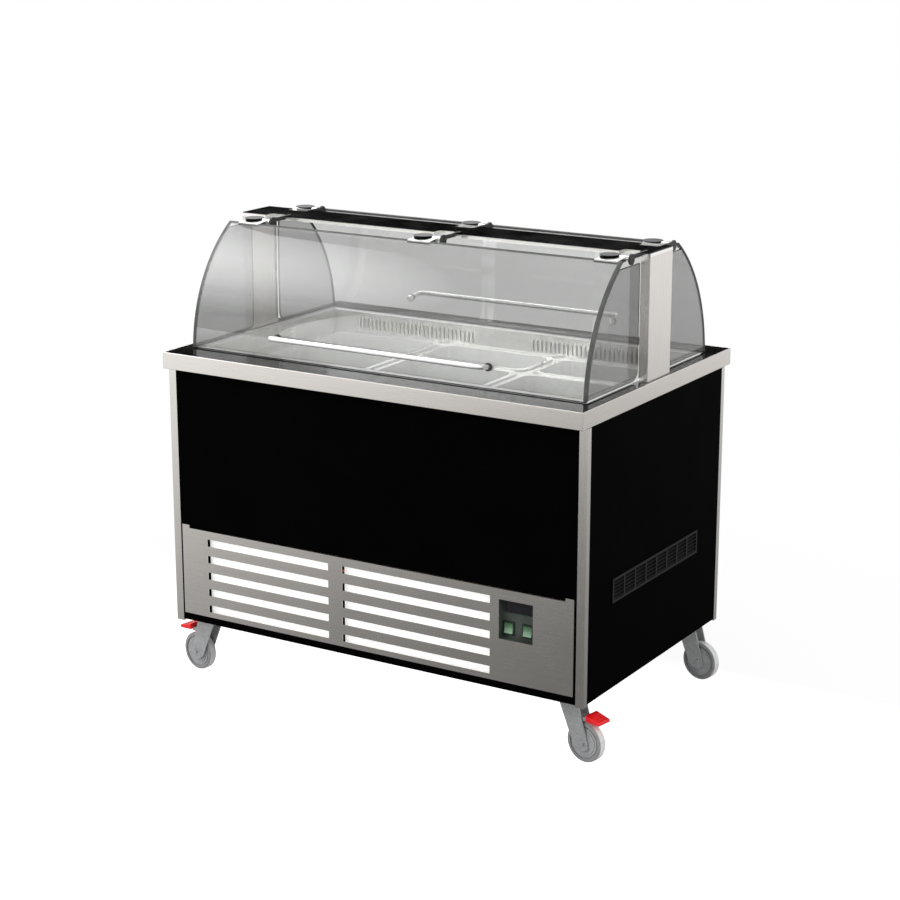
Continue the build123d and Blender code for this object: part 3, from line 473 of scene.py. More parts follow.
class Finish:
    """A material with one Principled shader and the textures that drive it."""

    def __init__(self, name, **sockets):
        self.material = bpy.data.materials.new(name)
        self.material.use_nodes = True
        self.tree = self.material.node_tree
        self.shader = self.tree.nodes["Principled BSDF"]
        self.output = self.tree.nodes["Material Output"]
        self.bumps = None
        for socket, value in sockets.items():
            self.shader.inputs[socket.replace("_", " ")].default_value = value

    def node(self, kind, operation=None, **values):
        return add_node(self.tree, kind, operation, **values)

    def link(self, source, target):
        self.tree.links.new(source, target)

    def place(self):
        """A point's place in object coordinates."""
        return self.node("TexCoord").outputs["Object"]

    def noise(self, stretch, detail=4.0, roughness=0.6):
        """Noise on object coordinates, so many features a metre, all round or along each axis."""
        if isinstance(stretch, float):
            stretch = (stretch, stretch, stretch)
        mapping = self.node("Mapping", Scale=stretch)
        noise = self.node("TexNoise", Scale=1.0, Detail=detail, Roughness=roughness)
        self.link(self.place(), mapping.inputs["Vector"])
        self.link(mapping.outputs["Vector"], noise.inputs["Vector"])
        return noise.outputs["Fac"]

    def away(self, axis, span):
        """Runs over the band between two distances from the frame's origin, along an axis."""
        distance = reckon(self.tree, "ABSOLUTE", along_axis(self.tree, self.place(), axis))
        return spread(self.tree, distance, span, BAND)

    def either(self, first, second):
        """The second grain on faces that look along X, the first elsewhere."""
        normal = self.node("NewGeometry").outputs["Normal"]
        sideways = reckon(self.tree, "ABSOLUTE", along_axis(self.tree, normal, "X"))
        return mix_values(self.tree, sideways, first, second)

    def colour(self, source, dark, pale):
        ramp = self.node("ValToRGB")
        for stop, position, tone in zip(ramp.color_ramp.elements, BAND, (dark, pale)):
            stop.position = position
            stop.color = tone
        self.link(source, ramp.inputs["Fac"])
        self.link(ramp.outputs["Color"], self.shader.inputs["Base Color"])

    def roughness(self, source, low, high):
        self.link(spread(self.tree, source, BAND, (low, high)), self.shader.inputs["Roughness"])

    def bump(self, source, strength, distance):
        bump = self.node("Bump", Strength=strength, Distance=distance)
        self.link(source, bump.inputs["Height"])
        if self.bumps:
            self.link(self.bumps, bump.inputs["Normal"])
        self.bumps = bump.outputs["Normal"]
        self.link(self.bumps, self.shader.inputs["Normal"])


# Kinds of finish

STEEL_DARK = shade(213, 209, 204)
STEEL_PALE = shade(226, 222, 217)
STREAK_SHARE = 0.55
TOP_DARK = (0.0020, 0.0019, 0.0018, 1)
TOP_PALE = (0.0050, 0.0048, 0.0046, 1)
GLASS_CLEAR = (0.92, 0.93, 0.92, 1)


def grain_along(axis):
    """Stretch of noise that makes streaks along an axis."""
    return tuple(GRAIN_LONG if letter == axis else GRAIN_FINE for letter in "XYZ")


def brushed_steel(name, along, side=None, metal=1.0, dark=STEEL_DARK, pale=STEEL_PALE):
    """Stainless sheet with fine brushed streaks and faint wiping marks."""
    steel = Finish(name, Metallic=metal)
    grain = steel.noise(grain_along(along))
    if side:
        grain = steel.either(grain, steel.noise(grain_along(side)))
    wiping = steel.noise(WIPING, detail=3.0)
    steel.colour(grain, dark, pale)
    streaks = reckon(steel.tree, "MULTIPLY", grain, STREAK_SHARE)
    mixed = reckon(steel.tree, "MULTIPLY_ADD", wiping, 1 - STREAK_SHARE, streaks)
    steel.roughness(mixed, low=0.20, high=0.30)
    steel.bump(grain, strength=0.06, distance=0.0002)
    return steel.material


def polished_steel(name, dark, pale, metal):
    """Bright drawn or pressed steel, barely scuffed."""
    steel = Finish(name, Metallic=metal)
    scuffs = steel.noise(SCUFFS, detail=6.0)
    steel.colour(scuffs, dark, pale)
    steel.roughness(scuffs, low=0.12, high=0.24)
    steel.bump(steel.noise(RIPPLES, detail=2.0), strength=0.03, distance=0.0006)
    return steel.material


def orange_peel(lacquer, clouds):
    """Gives a black coat its dull, faintly dimpled skin."""
    lacquer.roughness(clouds, low=0.5, high=0.62)
    lacquer.bump(lacquer.noise(PEEL, detail=2.0), strength=0.06, distance=0.0003)
    return lacquer.material


def panel_lacquer(name, dark, pale):
    """Black coated sheet."""
    lacquer = Finish(name, Specular_IOR_Level=0.006)
    clouds = lacquer.noise(SHEET_CLOUDS, detail=3.0)
    lacquer.colour(clouds, dark, pale)
    return orange_peel(lacquer, clouds)


def shaded_vent_lacquer(name, dark, pale, proud):
    """Black vent whose proud frame is painted paler than its louvres: a painted highlight on the frame,
    painted shade down among the louvres.
    """
    lacquer = Finish(name, Specular_IOR_Level=0.06)
    lit_frame = lacquer.away("X", [proud - depth for depth in VENT_STEP])
    lacquer.colour(lit_frame, dark, pale)
    return orange_peel(lacquer, lacquer.noise(SHEET_CLOUDS, detail=3.0))


def polished_black(name):
    """Polished black sheet that mirrors what stands on it."""
    top = Finish(name, IOR=1.5)
    clouds = top.noise(TOP_CLOUDS, detail=5.0)
    top.colour(clouds, TOP_DARK, TOP_PALE)
    top.roughness(clouds, low=0.06, high=0.13)
    top.bump(top.noise(TOP_WAVES, detail=3.0), strength=0.02, distance=0.0008)
    return top.material


def tinted_glass(name, tint):
    """Tinted safety glass that mirrors well; lamp rays go straight through it."""
    glass = Finish(name, Base_Color=tint, Transmission_Weight=1.0, IOR=1.75)
    glass.roughness(glass.noise(SMEARS, detail=5.0), low=0.0, high=0.015)
    clear = glass.node("BsdfTransparent", Color=GLASS_CLEAR).outputs["BSDF"]
    lamp_rays = any_ray(glass.tree, "Is Shadow Ray")
    mix_shaders(glass.tree, lamp_rays, glass.shader.outputs["BSDF"], clear, glass.output)
    return glass.material


def moulded(name, dark, pale, rough, scale=SKIN, strength=0.05):
    """Moulded plastic or rubber with a fine skin."""
    skin = Finish(name)
    grain = skin.noise(scale, detail=2.0)
    clouds = skin.noise(SKIN_CLOUDS, detail=3.0)
    skin.colour(clouds, dark, pale)
    skin.roughness(clouds, *rough)
    skin.bump(grain, strength, distance=0.0003)
    return skin.material


def plated(name, dark, pale, rough, metal=1.0):
    """Zinc-plated or cast metal with mottled brightness."""
    plating = Finish(name, Metallic=metal)
    mottle = plating.noise(MOTTLE, detail=5.0)
    plating.colour(mottle, dark, pale)
    plating.roughness(mottle, *rough)
    plating.bump(mottle, strength=0.05, distance=0.0004)
    return plating.material


def shaded_switch_lens(name, lit_foot_tone, shaded_head_tone):
    """Translucent switch lens whose tone is painted from a lit foot to a shaded head: painted light and
    shade.
    """
    lens = Finish(name)
    lens.colour(lens.away("Z", ROCKER_Z), lit_foot_tone, shaded_head_tone)
    lens.roughness(lens.noise(LENS_HAZE, detail=2.0), low=0.2, high=0.32)
    lens.bump(lens.noise(LENS_SKIN, detail=1.0), strength=0.05, distance=0.0002)
    return lens.material


def painted_glow_fleece(name, dark, pale):
    """Matted fibres with a painted glow: a little emission lifts the mat, lit only through the grille's
    slots, to white.
    """
    fleece = Finish(name, Roughness=0.95, Emission_Color=WHITE, Emission_Strength=0.45)
    strands = fleece.noise(STRANDS, detail=6.0, roughness=0.7)
    fleece.colour(strands, dark, pale)
    fleece.bump(strands, strength=0.4, distance=0.002)
    return fleece.material


# Finishes of the counter

fascia_steel = brushed_steel("fascia_steel", "X", "Y")
grille_steel = brushed_steel("grille_steel", "X")
# Tray steel painted paler than the posts' same steel, as painted light on the gantry tray
lit_tray_steel = brushed_steel(
    "lit_tray_steel", "X", "Y", dark=shade(236, 234, 231), pale=shade(246, 244, 241)
)
post_steel = brushed_steel("post_steel", "Z")
# Well steel painted paler and less metallic than the outer steel, as painted light inside the guards
lit_well_steel = brushed_steel(
    "lit_well_steel", "X", "Y", metal=0.6, dark=shade(224, 223, 220), pale=shade(238, 237, 234)
)
# Pan steel painted pale and mostly unmetallic, as painted light in the pans
lit_pan_steel = polished_steel("lit_pan_steel", shade(228, 228, 226), shade(242, 242, 240), metal=0.3)
# Bar steel painted near white, as a painted highlight on the pan frame and pan rims
highlight_bar_steel = polished_steel("highlight_bar_steel", shade(240, 240, 238), shade(252, 252, 250), metal=0.9)
shoe_steel = polished_steel("shoe_steel", shade(192, 192, 191), shade(212, 212, 211), metal=1.0)
bright_steel = polished_steel("bright_steel", shade(240, 240, 239), shade(252, 252, 251), metal=0.8)
panel_black = panel_lacquer("panel_black", shade(0, 0, 0), shade(2, 2, 2))
# Vent louvres painted dark and its proud frame pale, as painted shade and highlight
vent_black = shaded_vent_lacquer("vent_black", shade(5, 5, 5), shade(42, 41, 42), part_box("side_vents")[1][0])
top_black = polished_black("black_worktop")
plastic_black = moulded("plastic_black", shade(16, 16, 17), shade(26, 26, 28), rough=(0.42, 0.55))
display_black = moulded("display_black", shade(22, 20, 24), shade(32, 30, 34), rough=(0.10, 0.18))
frame_green = moulded("frame_green", shade(20, 32, 23), shade(32, 46, 36), rough=(0.35, 0.5))
# Control recess in a dark greenish grey, darkened further as painted shade inside the recess
recess_shade_grey = moulded("recess_shade_grey", shade(56, 64, 58), shade(68, 76, 70), rough=(0.45, 0.6))
unit_grey = moulded("unit_grey", shade(60, 60, 62), shade(84, 84, 86), rough=(0.4, 0.6))
# Rocker lenses painted lighter at the foot and darker at the head, as painted light and shade
switch_green_shaded = shaded_switch_lens("green_lens", shade(140, 172, 146), shade(60, 100, 64))
pedal_red = moulded("pedal_red", shade(222, 8, 18), shade(250, 26, 34), rough=(0.25, 0.4))
# Filter fleece with a painted glow from its emission, standing in for light
fleece_white_glow = painted_glow_fleece("filter_fleece", shade(225, 225, 224), shade(250, 250, 249))
foam_cream = moulded(
    "foam_cream", shade(214, 204, 160), shade(232, 224, 186), rough=(0.8, 0.95), scale=500.0, strength=0.4
)
pane_glass = tinted_glass("pane_glass", (0.635, 0.640, 0.635, 1))
cheek_glass = tinted_glass("cheek_glass", (0.32, 0.323, 0.32, 1))
# Opaque dark grey on glass edges and bands: painted shade for how the edges of glass look dark
glass_edge_shade = moulded("glass_edge_shade", shade(58, 60, 58), shade(80, 82, 80), rough=(0.15, 0.25))
zinc_grey = plated("zinc_grey", shade(168, 169, 170), shade(196, 197, 198), rough=(0.30, 0.45), metal=0.5)
tyre_grey = moulded(
    "tyre_grey", shade(132, 133, 134), shade(150, 151, 152), rough=(0.5, 0.65), scale=700.0, strength=0.1
)
tread_pale = moulded(
    "tread_pale", shade(218, 218, 217), shade(232, 232, 231), rough=(0.3, 0.45), scale=700.0, strength=0.1
)
disc_pale = moulded("disc_pale", shade(152, 153, 154), shade(172, 173, 174), rough=(0.2, 0.32))
fin_metal = plated("fin_metal", shade(188, 190, 192), shade(214, 216, 218), rough=(0.35, 0.5))
pipe_copper = plated("pipe_copper", shade(168, 98, 66), shade(208, 138, 98), rough=(0.25, 0.4))

# Solids that keep their own shape
NODE_FINISHES = {
    lit_tray_steel: ["gantry_tray"],
    grille_steel: ["front_grille"],
    post_steel: ["corner_posts"],
    lit_well_steel: ["well_tub"],
    highlight_bar_steel: ["pan_frame"],
    panel_black: ["front_panel", "rear_panel", "side_panels", "base_tray"],
    vent_black: ["side_vents"],
    top_black: ["worktop_deck", "gantry_top"],
    plastic_black: [
        "hinge_brackets",
        "mains_inlet",
        "condenser_fan",
        "evaporator_fan",
        "evaporator_fan_frame",
    ],
    display_black: ["thermostat"],
    frame_green: ["switch_frames"],
    switch_green_shaded: ["rocker_left", "rocker_right"],
    recess_shade_grey: ["control_box"],
    unit_grey: ["compressor", "fan_shroud"],
    foam_cream: ["well_insulation"],
    fin_metal: ["condenser", "evaporator"],
    pipe_copper: ["refrigerant_pipes"],
    zinc_grey: ["castor_plates"],
}
for finish, names in NODE_FINISHES.items():
    for name in names:
        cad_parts[name].data.materials.clear()
        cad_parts[name].data.materials.append(finish)


# Guards: side -1 is the front guard, side 1 the rear one

def on_guard(angle, radius, side):
    """Y and Z of a point at an angle round a guard's centre."""
    turn = radians(angle)
    y = PANE_CENTRE[0] + radius * cos(turn)
    return -side * y, PANE_CENTRE[1] + radius * sin(turn)


def angle_at(height, radius):
    """Angle round a guard's centre at which a curve of some radius has a height."""
    return 180 - degrees(asin((height - PANE_CENTRE[1]) / radius))


def sweep(steps, start, end, side):
    """Spins what is picked round a guard's centre."""
    bpy.ops.mesh.spin(
        steps=steps,
        angle=radians(end - start),
        center=(0, -side * PANE_CENTRE[0], PANE_CENTRE[1]),
        axis=(side, 0, 0),
    )


def glaze(sheet):
    """Turns a thin surface into a pane with eased edges."""
    all_outward(sheet)
    give_wall(sheet, PANE_WALL, offset=0)
    ease(sheet, PANE_GRIND, segments=1, angle=60)
    return smooth(sheet, angle=15)


def guard_pane(name, side):
    """Bent glass: one long edge spun round the guard's centre."""
    let_go()
    y, z = on_guard(PANE_TOP_ANGLE, PANE_RADIUS, side)
    bpy.ops.mesh.primitive_plane_add(size=1, location=(0, y, z))
    pane = bpy.context.object
    pane.scale = (2 * PANE_HALF, PANE_WALL, 1)
    settle(pane, name)
    pick(pane, "VERT", lambda point: point.y > y)
    bpy.ops.mesh.delete(type="VERT")
    pick_all()
    bpy.ops.transform.translate(value=(0, PANE_WALL / 2, 0))
    sweep(PANE_STEPS, PANE_TOP_ANGLE, PANE_LOW_ANGLE, side)
    for x in (PANE_SHADE_BAND - PANE_HALF, PANE_HALF - PANE_SHADE_BAND):
        pick_all()
        bpy.ops.mesh.bisect(plane_co=(x, 0, 0), plane_no=(1, 0, 0))
    return glaze(pane)


def guard_cheek(name, side, x):
    """Flat glass end: a point swept along the curve, then drawn back to a straight rear edge."""
    radius = PANE_RADIUS - PANE_WALL / 2 - CHEEK_GAP
    high, low = angle_at(CHEEK_HIGH, radius), angle_at(CHEEK_LOW, radius)
    let_go()
    bpy.ops.mesh.primitive_plane_add(size=PANE_WALL, location=(x, *on_guard(high, radius, side)))
    cheek = settle(bpy.context.object, name)
    pick(cheek, "VERT", lambda point: True)
    bpy.ops.mesh.merge(type="CENTER")
    pick_all()
    sweep(CHEEK_STEPS, high, low, side)
    pick_all()
    extrude((0, 0, 0))
    bpy.ops.transform.resize(value=(1, 0, 1), center_override=(x, side * CHEEK_REAR, 0))
    pick_all()
    bpy.ops.mesh.dissolve_limited(angle_limit=radians(CHEEK_STRAIGHT))
    pick(cheek, "VERT", lambda point: abs(point.y) < CHEEK_REAR + NEAR and point.z < CHEEK_LOW + NEAR)
    bpy.ops.mesh.bevel(offset=CHEEK_CORNER, segments=5, affect="VERTICES")
    return glaze(cheek)


def bend_rod(x, y):
    """Spins the picked end of a rod a quarter turn round a point."""
    bpy.ops.mesh.spin(steps=ROD_STEPS, angle=pi / 2, center=(x, y, 0), axis=(0, 0, 1))


def handle_rod(name):
    """Bent grip in its own plane: X along the grip, Y away from the glass."""
    let_go()
    bpy.ops.mesh.primitive_circle_add(
        vertices=ROD_SIDES,
        radius=HANDLE_ROD,
        fill_type="NGON",
        location=(-HANDLE_HALF, WASHER, 0),
        rotation=(pi / 2, 0, 0),
    )
    rod = settle(bpy.context.object, name)
    bend = HANDLE_STANDOFF - HANDLE_BEND
    run = HANDLE_HALF - HANDLE_BEND
    pick(rod, "FACE", lambda centre, normal: True)
    extrude((0, bend - WASHER, 0))
    bend_rod(-run, bend)
    extrude((2 * run, 0, 0))
    bend_rod(run, bend)
    extrude((0, WASHER - bend, 0))
    all_outward(rod)
    return smooth(rod)


def handle_washers(name):
    """A washer under each leg, outside the glass."""
    parts = []
    for x in HANDLE_LEGS:
        washer = drum("washer", (x, WASHER / 2, 0), WASHER_RADIUS, WASHER, "Y", SMALL_SIDES)
        parts.append(soften(washer, WASHER_ROUND))
    return join(name, parts)


def handle_nuts(name):
    """A domed nut on each leg, inside the glass."""
    parts = []
    for x in HANDLE_LEGS:
        middle = (x, -PANE_WALL - NUT_LENGTH / 2, 0)
        nut = drum("nut", middle, NUT_RADIUS, NUT_LENGTH, "Y", SMALL_SIDES)
        pick(nut, "FACE", lambda centre, normal: normal.y < -FACING)
        bpy.ops.mesh.bevel(offset=NUT_DOME, segments=4, affect="EDGES")
        parts.append(smooth(nut))
    return join(name, parts)


def onto_pane(piece, side):
    """Sets a piece modelled flat on the outside of the glass at the handle's height."""
    angle = HANDLE_ANGLE if side < 0 else 180 - HANDLE_ANGLE
    y, z = on_guard(HANDLE_ANGLE, PANE_RADIUS + PANE_WALL / 2, side)
    return put(piece, (0, y, z), (radians(angle), 0, 0))


def hinge_shoe(side):
    """Bright shoe over the glass edge, with the barrel that turns on the hinge pin."""
    outer = (SHOE_X[0], side * SHOE_Y, SHOE_Z[0])
    inner = (SHOE_X[1], side * HINGE_Y, SHOE_Z[1])
    shoe = block("shoe", outer, inner)
    pick(shoe, "VERT", lambda point: abs(point.y) > (SHOE_Y + HINGE_Y) / 2)
    bpy.ops.transform.translate(value=(0, 0, -SHOE_DROP))
    middle = ((BARREL_X[0] + BARREL_X[1]) / 2, side * HINGE_Y, HINGE_Z)
    barrel = drum("barrel", middle, BARREL_RADIUS, BARREL_X[1] - BARREL_X[0], "X", SMALL_SIDES)
    return join("shoe", [soften(shoe, SHOE_ROUND, segments=3), soften(barrel, FINE_ROUND)])


def hinge_cap(side):
    """Thin disc on a short stem over the barrel."""
    low, high = CAP_Z
    cap = drum("cap", (0, side * CAP_Y, (HINGE_Z + low) / 2), CAP_STEM, low - HINGE_Z)
    pick(cap, "FACE", lambda centre, normal: normal.z > FACING)
    extrude((0, 0, 0))
    wider = CAP_RADIUS / CAP_STEM
    bpy.ops.transform.resize(value=(wider, wider, 1), center_override=(0, side * CAP_Y, low))
    extrude((0, 0, high - low))
    return soften(cap, FINE_ROUND)


def at_hinges(name, model):
    """Three copies of a hinge piece as one set."""
    copies = [put(copy_of(model, name), (x, 0, 0)) for x in HINGE_X]
    bpy.data.objects.remove(model)
    return join(name, copies)


def is_pane_edge_shade(centre, normal):
    """True for the narrow faces of a bent pane and the band of painted shade along its top and ends."""
    out, up = abs(centre.y) + PANE_CENTRE[0], centre.z - PANE_CENTRE[1]
    band = (PANE_LOW_ANGLE - PANE_TOP_ANGLE) / PANE_STEPS
    at_top = 180 - degrees(atan2(up, out)) < PANE_TOP_ANGLE + band
    at_end = abs(centre.x) > PANE_HALF - PANE_SHADE_BAND
    return at_top or at_end or abs(hypot(out, up) - PANE_RADIUS) < PANE_CORE


def is_cheek_edge(centre, normal):
    """True for the narrow faces round a flat end."""
    return abs(normal.x) < FACING


for end, side in GUARD_SIDES.items():
    body = end + "_guard"
    pane = dress(guard_pane(end + "_pane", side), pane_glass, body, "guard_glass", end + "_glass")
    # The pane's edges and a band along its top and ends get painted edge shade
    patch(pane, glass_edge_shade, is_pane_edge_shade)
    ends = [guard_cheek("cheek", side, -CHEEK_X), guard_cheek("cheek", side, CHEEK_X)]
    ends = dress(join(end + "_ends", ends), cheek_glass, body, "guard_glass", end + "_cheeks")
    # The cheeks' edges get the same painted edge shade
    patch(ends, glass_edge_shade, is_cheek_edge)
    grip = onto_pane(handle_rod(end + "_grip"), side)
    dress(grip, bright_steel, body, "polished", end + "_handle")
    dress(onto_pane(handle_washers(end + "_grip_washers"), side), plastic_black, body, "black_plastic")
    dress(onto_pane(handle_nuts(end + "_grip_nuts"), side), bright_steel, body, "polished")
    shoes = at_hinges(end + "_hinge_shoes", hinge_shoe(side))
    dress(shoes, shoe_steel, body, "polished", end + "_clamps")
    dress(at_hinges(end + "_hinge_caps", hinge_cap(side)), plastic_black, body, "black_plastic")


# Worktop edge and gantry posts

def worktop_edge():
    """Edge strip all round the deck: a slab opened through from lip to return."""
    low = (-HALF_LENGTH, -HALF_DEPTH, EDGE_LOW)
    high = (HALF_LENGTH, HALF_DEPTH, WORKTOP_TOP)
    edge = block("edge_strip", low, high)
    pick(edge, "FACE", lambda centre, normal: normal.z > FACING)
    bpy.ops.mesh.inset(thickness=EDGE_LIP)
    extrude((0, 0, -EDGE_LIP))
    pick(edge, "FACE", lambda centre, normal: normal.z < -FACING)
    bpy.ops.mesh.inset(thickness=EDGE_RETURN)
    pick(edge, "FACE", lambda centre, normal: centre.xy.length < NEAR)
    bpy.ops.mesh.bridge_edge_loops()
    return soften(edge, EDGE_ROUND, segments=3)


def gantry_post(name, side):
    """Flat upright at one end of the gantry."""
    inner = (side * (GANTRY_HALF - GANTRY_POST), -GANTRY_Y, WORKTOP_TOP)
    outer = (side * GANTRY_HALF, GANTRY_Y, GANTRY_LOW)
    return soften(block(name, inner, outer), FINE_ROUND)


dress(worktop_edge(), fascia_steel, "cabinet", "stainless", "worktop_edge")
posts = [gantry_post("post_left", -1), gantry_post("post_right", 1)]
dress(join("gantry_uprights", posts), post_steel, "cabinet", "stainless", "gantry_posts")


# Filter mats behind the grille

def fleece_mat(low, high):
    """Fibre pad with soft edges, its faces cut fine and left uneven."""
    mat = block("mat", low, high)
    ease(mat, MAT_EDGE, segments=3, angle=60)
    pick(mat, "FACE", lambda centre, normal: abs(normal.y) > FACING)
    bpy.ops.mesh.subdivide(number_cuts=MAT_CUTS)
    take(mat)
    lumps = bpy.data.textures.new("fleece_lumps", "CLOUDS")
    lumps.noise_scale = FLEECE_LUMP
    uneven = mat.modifiers.new("uneven", "DISPLACE")
    uneven.texture = lumps
    uneven.strength = FLEECE_DEPTH
    uneven.mid_level = 1.0
    bpy.ops.object.modifier_apply(modifier=uneven.name)
    return smooth(mat, angle=60)


low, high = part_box("filter_mats")
mats = [
    fleece_mat(low, (MAT_BETWEEN[0], high[1], high[2])),
    fleece_mat((MAT_BETWEEN[1], low[1], low[2]), high),
]
mats = dress(join("filter_fleece", mats), fleece_white_glow, "cabinet", "white_mat", "filter_mats")


# Food pans

def food_pan(name, column, row):
    """Deep-drawn pan: a tapered box with round corners, its rim folded out and down."""
    low_y, high_y = row
    centre = Vector((column, (low_y + high_y) / 2, PAN_RIM))
    wide, long = PAN_WIDTH / 2 - PAN_FLANGE, (high_y - low_y) / 2 - PAN_FLANGE
    floor = PAN_RIM - PAN_DEPTH
    pan = block(
        name,
        (centre.x - wide, centre.y - long, floor),
        (centre.x + wide, centre.y + long, PAN_RIM),
    )
    pick(pan, "FACE", lambda middle, normal: normal.z < -FACING)
    narrow = (1 - PAN_NARROWING / wide, 1 - PAN_NARROWING / long, 1)
    bpy.ops.transform.resize(value=narrow, center_override=(centre.x, centre.y, floor))
    pick(pan, "FACE", lambda middle, normal: normal.z > FACING)
    bpy.ops.mesh.delete(type="ONLY_FACE")
    pick(pan, "EDGE", lambda a, b: abs(a.z - b.z) > PAN_DEPTH / 2)
    bpy.ops.mesh.bevel(offset=PAN_CORNER, segments=7, affect="EDGES")
    pick(pan, "EDGE", lambda a, b: max(a.z, b.z) < floor + NEAR)
    bpy.ops.mesh.bevel(offset=PAN_FLOOR_ROUND, segments=4, affect="EDGES")
    pick(pan, "EDGE", lambda a, b: min(a.z, b.z) > PAN_RIM - NEAR)
    out = (1 + PAN_FLANGE / wide, 1 + PAN_FLANGE / long, 1)
    extrude((0, 0, 0))
    bpy.ops.transform.resize(value=out, center_override=centre)
    extrude((0, 0, -PAN_LIP))
    all_outward(pan)
    give_wall(pan, PAN_WALL, offset=-1)
    return smooth(pan, angle=40)


def is_highlit_pan_rim(centre, normal):
    """True for the faces of a pan's folded rim, which get a painted highlight."""
    return centre.z > PAN_RIM - PAN_LIP - PAN_WALL


for end, row in PAN_ROWS.items():
    for side, column in PAN_COLUMNS.items():
        node = end + "_pan_" + side
        pan = food_pan(end + "_food_pan_" + side, column, row)
        dress(pan, lit_pan_steel, node + "_body", "stainless", node)
        # The rims get the bar steel's painted highlight
        patch(pan, highlight_bar_steel, is_highlit_pan_rim)


# Castors, modelled once with the wheel trailing along +X, then copied

def castor_wheel():
    """Narrow tyre with rounded shoulders round a domed disc and its hub, the same on both faces."""
    axle = Vector((TRAIL, 0, WHEEL_RADIUS))
    wheel = drum("wheel", axle, WHEEL_RADIUS, WHEEL_WIDTH, "Y", WHEEL_SIDES)
    pick(wheel, "FACE", lambda centre, normal: abs(normal.y) > FACING)
    bpy.ops.mesh.bevel(offset=WHEEL_SHOULDER, segments=4, affect="EDGES")
    pick(wheel, "FACE", lambda centre, normal: (centre - axle).xz.length < NEAR)
    bpy.ops.mesh.inset(thickness=WHEEL_RADIUS - WHEEL_SHOULDER - RIM_RADIUS)
    push_out(-DISC_SINK)
    radius = RIM_RADIUS
    for width, rise in DISC_STEPS:
        bpy.ops.mesh.inset(thickness=width)
        push_out(rise)
        radius -= width
    bpy.ops.mesh.inset(thickness=radius - HUB_RADIUS)
    push_out(HUB_RISE)
    return smooth(wheel, angle=50)


def castor_fork():
    """Pressed fork: a folded sheet with rounded feet, a swivel race and the axle heads."""
    low, high = FORK_X
    fork = block("fork", (low, -FORK_HALF, FORK_FOOT), (high, FORK_HALF, CROWN_TOP))
    pick(fork, "FACE", lambda centre, normal: abs(normal.x) > FACING or normal.z < -FACING)
    bpy.ops.mesh.delete(type="FACE")
    pick(fork, "EDGE", lambda a, b: min(a.z, b.z) > CROWN_TOP - NEAR and abs(a.x - b.x) > NEAR)
    bpy.ops.mesh.bevel(offset=FORK_BEND, segments=4, affect="EDGES")
    pick(fork, "VERT", lambda point: point.z < FORK_FOOT + NEAR)
    bpy.ops.transform.translate(value=(TRAIL - (low + high) / 2, 0, 0))
    narrow = 2 * FORK_BOSS / (high - low)
    bpy.ops.transform.resize(value=(narrow, 1, 1), center_override=(TRAIL, 0, FORK_FOOT))
    bpy.ops.mesh.bevel(offset=FORK_BOSS - FORK_FLAT, segments=8, affect="VERTICES")
    all_outward(fork)
    give_wall(fork, FORK_SHEET, offset=-1)
    parts = [soften(fork, FORK_ROUND)]
    race = drum("race", (0, 0, CROWN_TOP + RACE_HEIGHT / 2), RACE_RADIUS, RACE_HEIGHT)
    parts.append(soften(race, RACE_ROUND, segments=3))
    for side in (-1, 1):
        middle = (TRAIL, side * (FORK_HALF + AXLE_HEAD / 2), WHEEL_RADIUS)
        head = drum("axle_head", middle, AXLE_RADIUS, AXLE_HEAD, "Y", AXLE_SIDES)
        parts.append(soften(head, FINE_ROUND))
    return join("fork", parts)


def brake_pedal():
    """Sloping tread with grip bars, on a lever between the fork's cheeks."""
    near, far = TREAD_X
    low, high = TREAD_Z
    tread = block("tread", (near, -TREAD_HALF, low), (far, TREAD_HALF, high))
    pick(tread, "VERT", lambda point: point.x > far - NEAR)
    bpy.ops.transform.translate(value=(0, 0, -UNDERSIDE_SHARE * TREAD_FALL))
    pick(tread, "VERT", lambda point: point.x > far - NEAR and point.z > low)
    bpy.ops.transform.translate(value=(0, 0, (UNDERSIDE_SHARE - 1) * TREAD_FALL))
    parts = [soften(tread, TREAD_ROUND, segments=4)]
    for share in BAR_SHARES:
        x = near + share * (far - near)
        top = high - share * TREAD_FALL
        foot = (x - BAR_HALF, -BAR_REACH, top - BAR_SINK)
        crest = (x + BAR_HALF, BAR_REACH, top + BAR_RISE)
        parts.append(soften(block("grip_bar", foot, crest), FINE_ROUND))
    lever = block("lever", (LEVER_X[0], -LEVER_HALF, LEVER_Z[0]), (LEVER_X[1], LEVER_HALF, LEVER_Z[1]))
    parts.append(soften(lever, LEVER_ROUND))
    return join("pedal", parts)


def wheel_bands(wheel, axle, along):
    """Pale running surface and disc on a grey tyre."""
    def reach(centre):
        arm = centre - axle
        return (arm - along * arm.dot(along)).length

    def is_disc(centre, normal):
        return reach(centre) < RIM_RADIUS

    def is_running(centre, normal):
        return reach(centre) > RIM_RADIUS and abs(normal.dot(along)) < RUNNING_SLOPE

    patch(wheel, disc_pale, is_disc)
    patch(wheel, tread_pale, is_running)


def metal_lever(pedal, place, trail):
    """Plated lever under a red tread."""
    reach = TREAD_X[0] - LEVER_CLEAR
    patch(pedal, zinc_grey, lambda centre, normal: (centre - place).dot(trail) < reach)


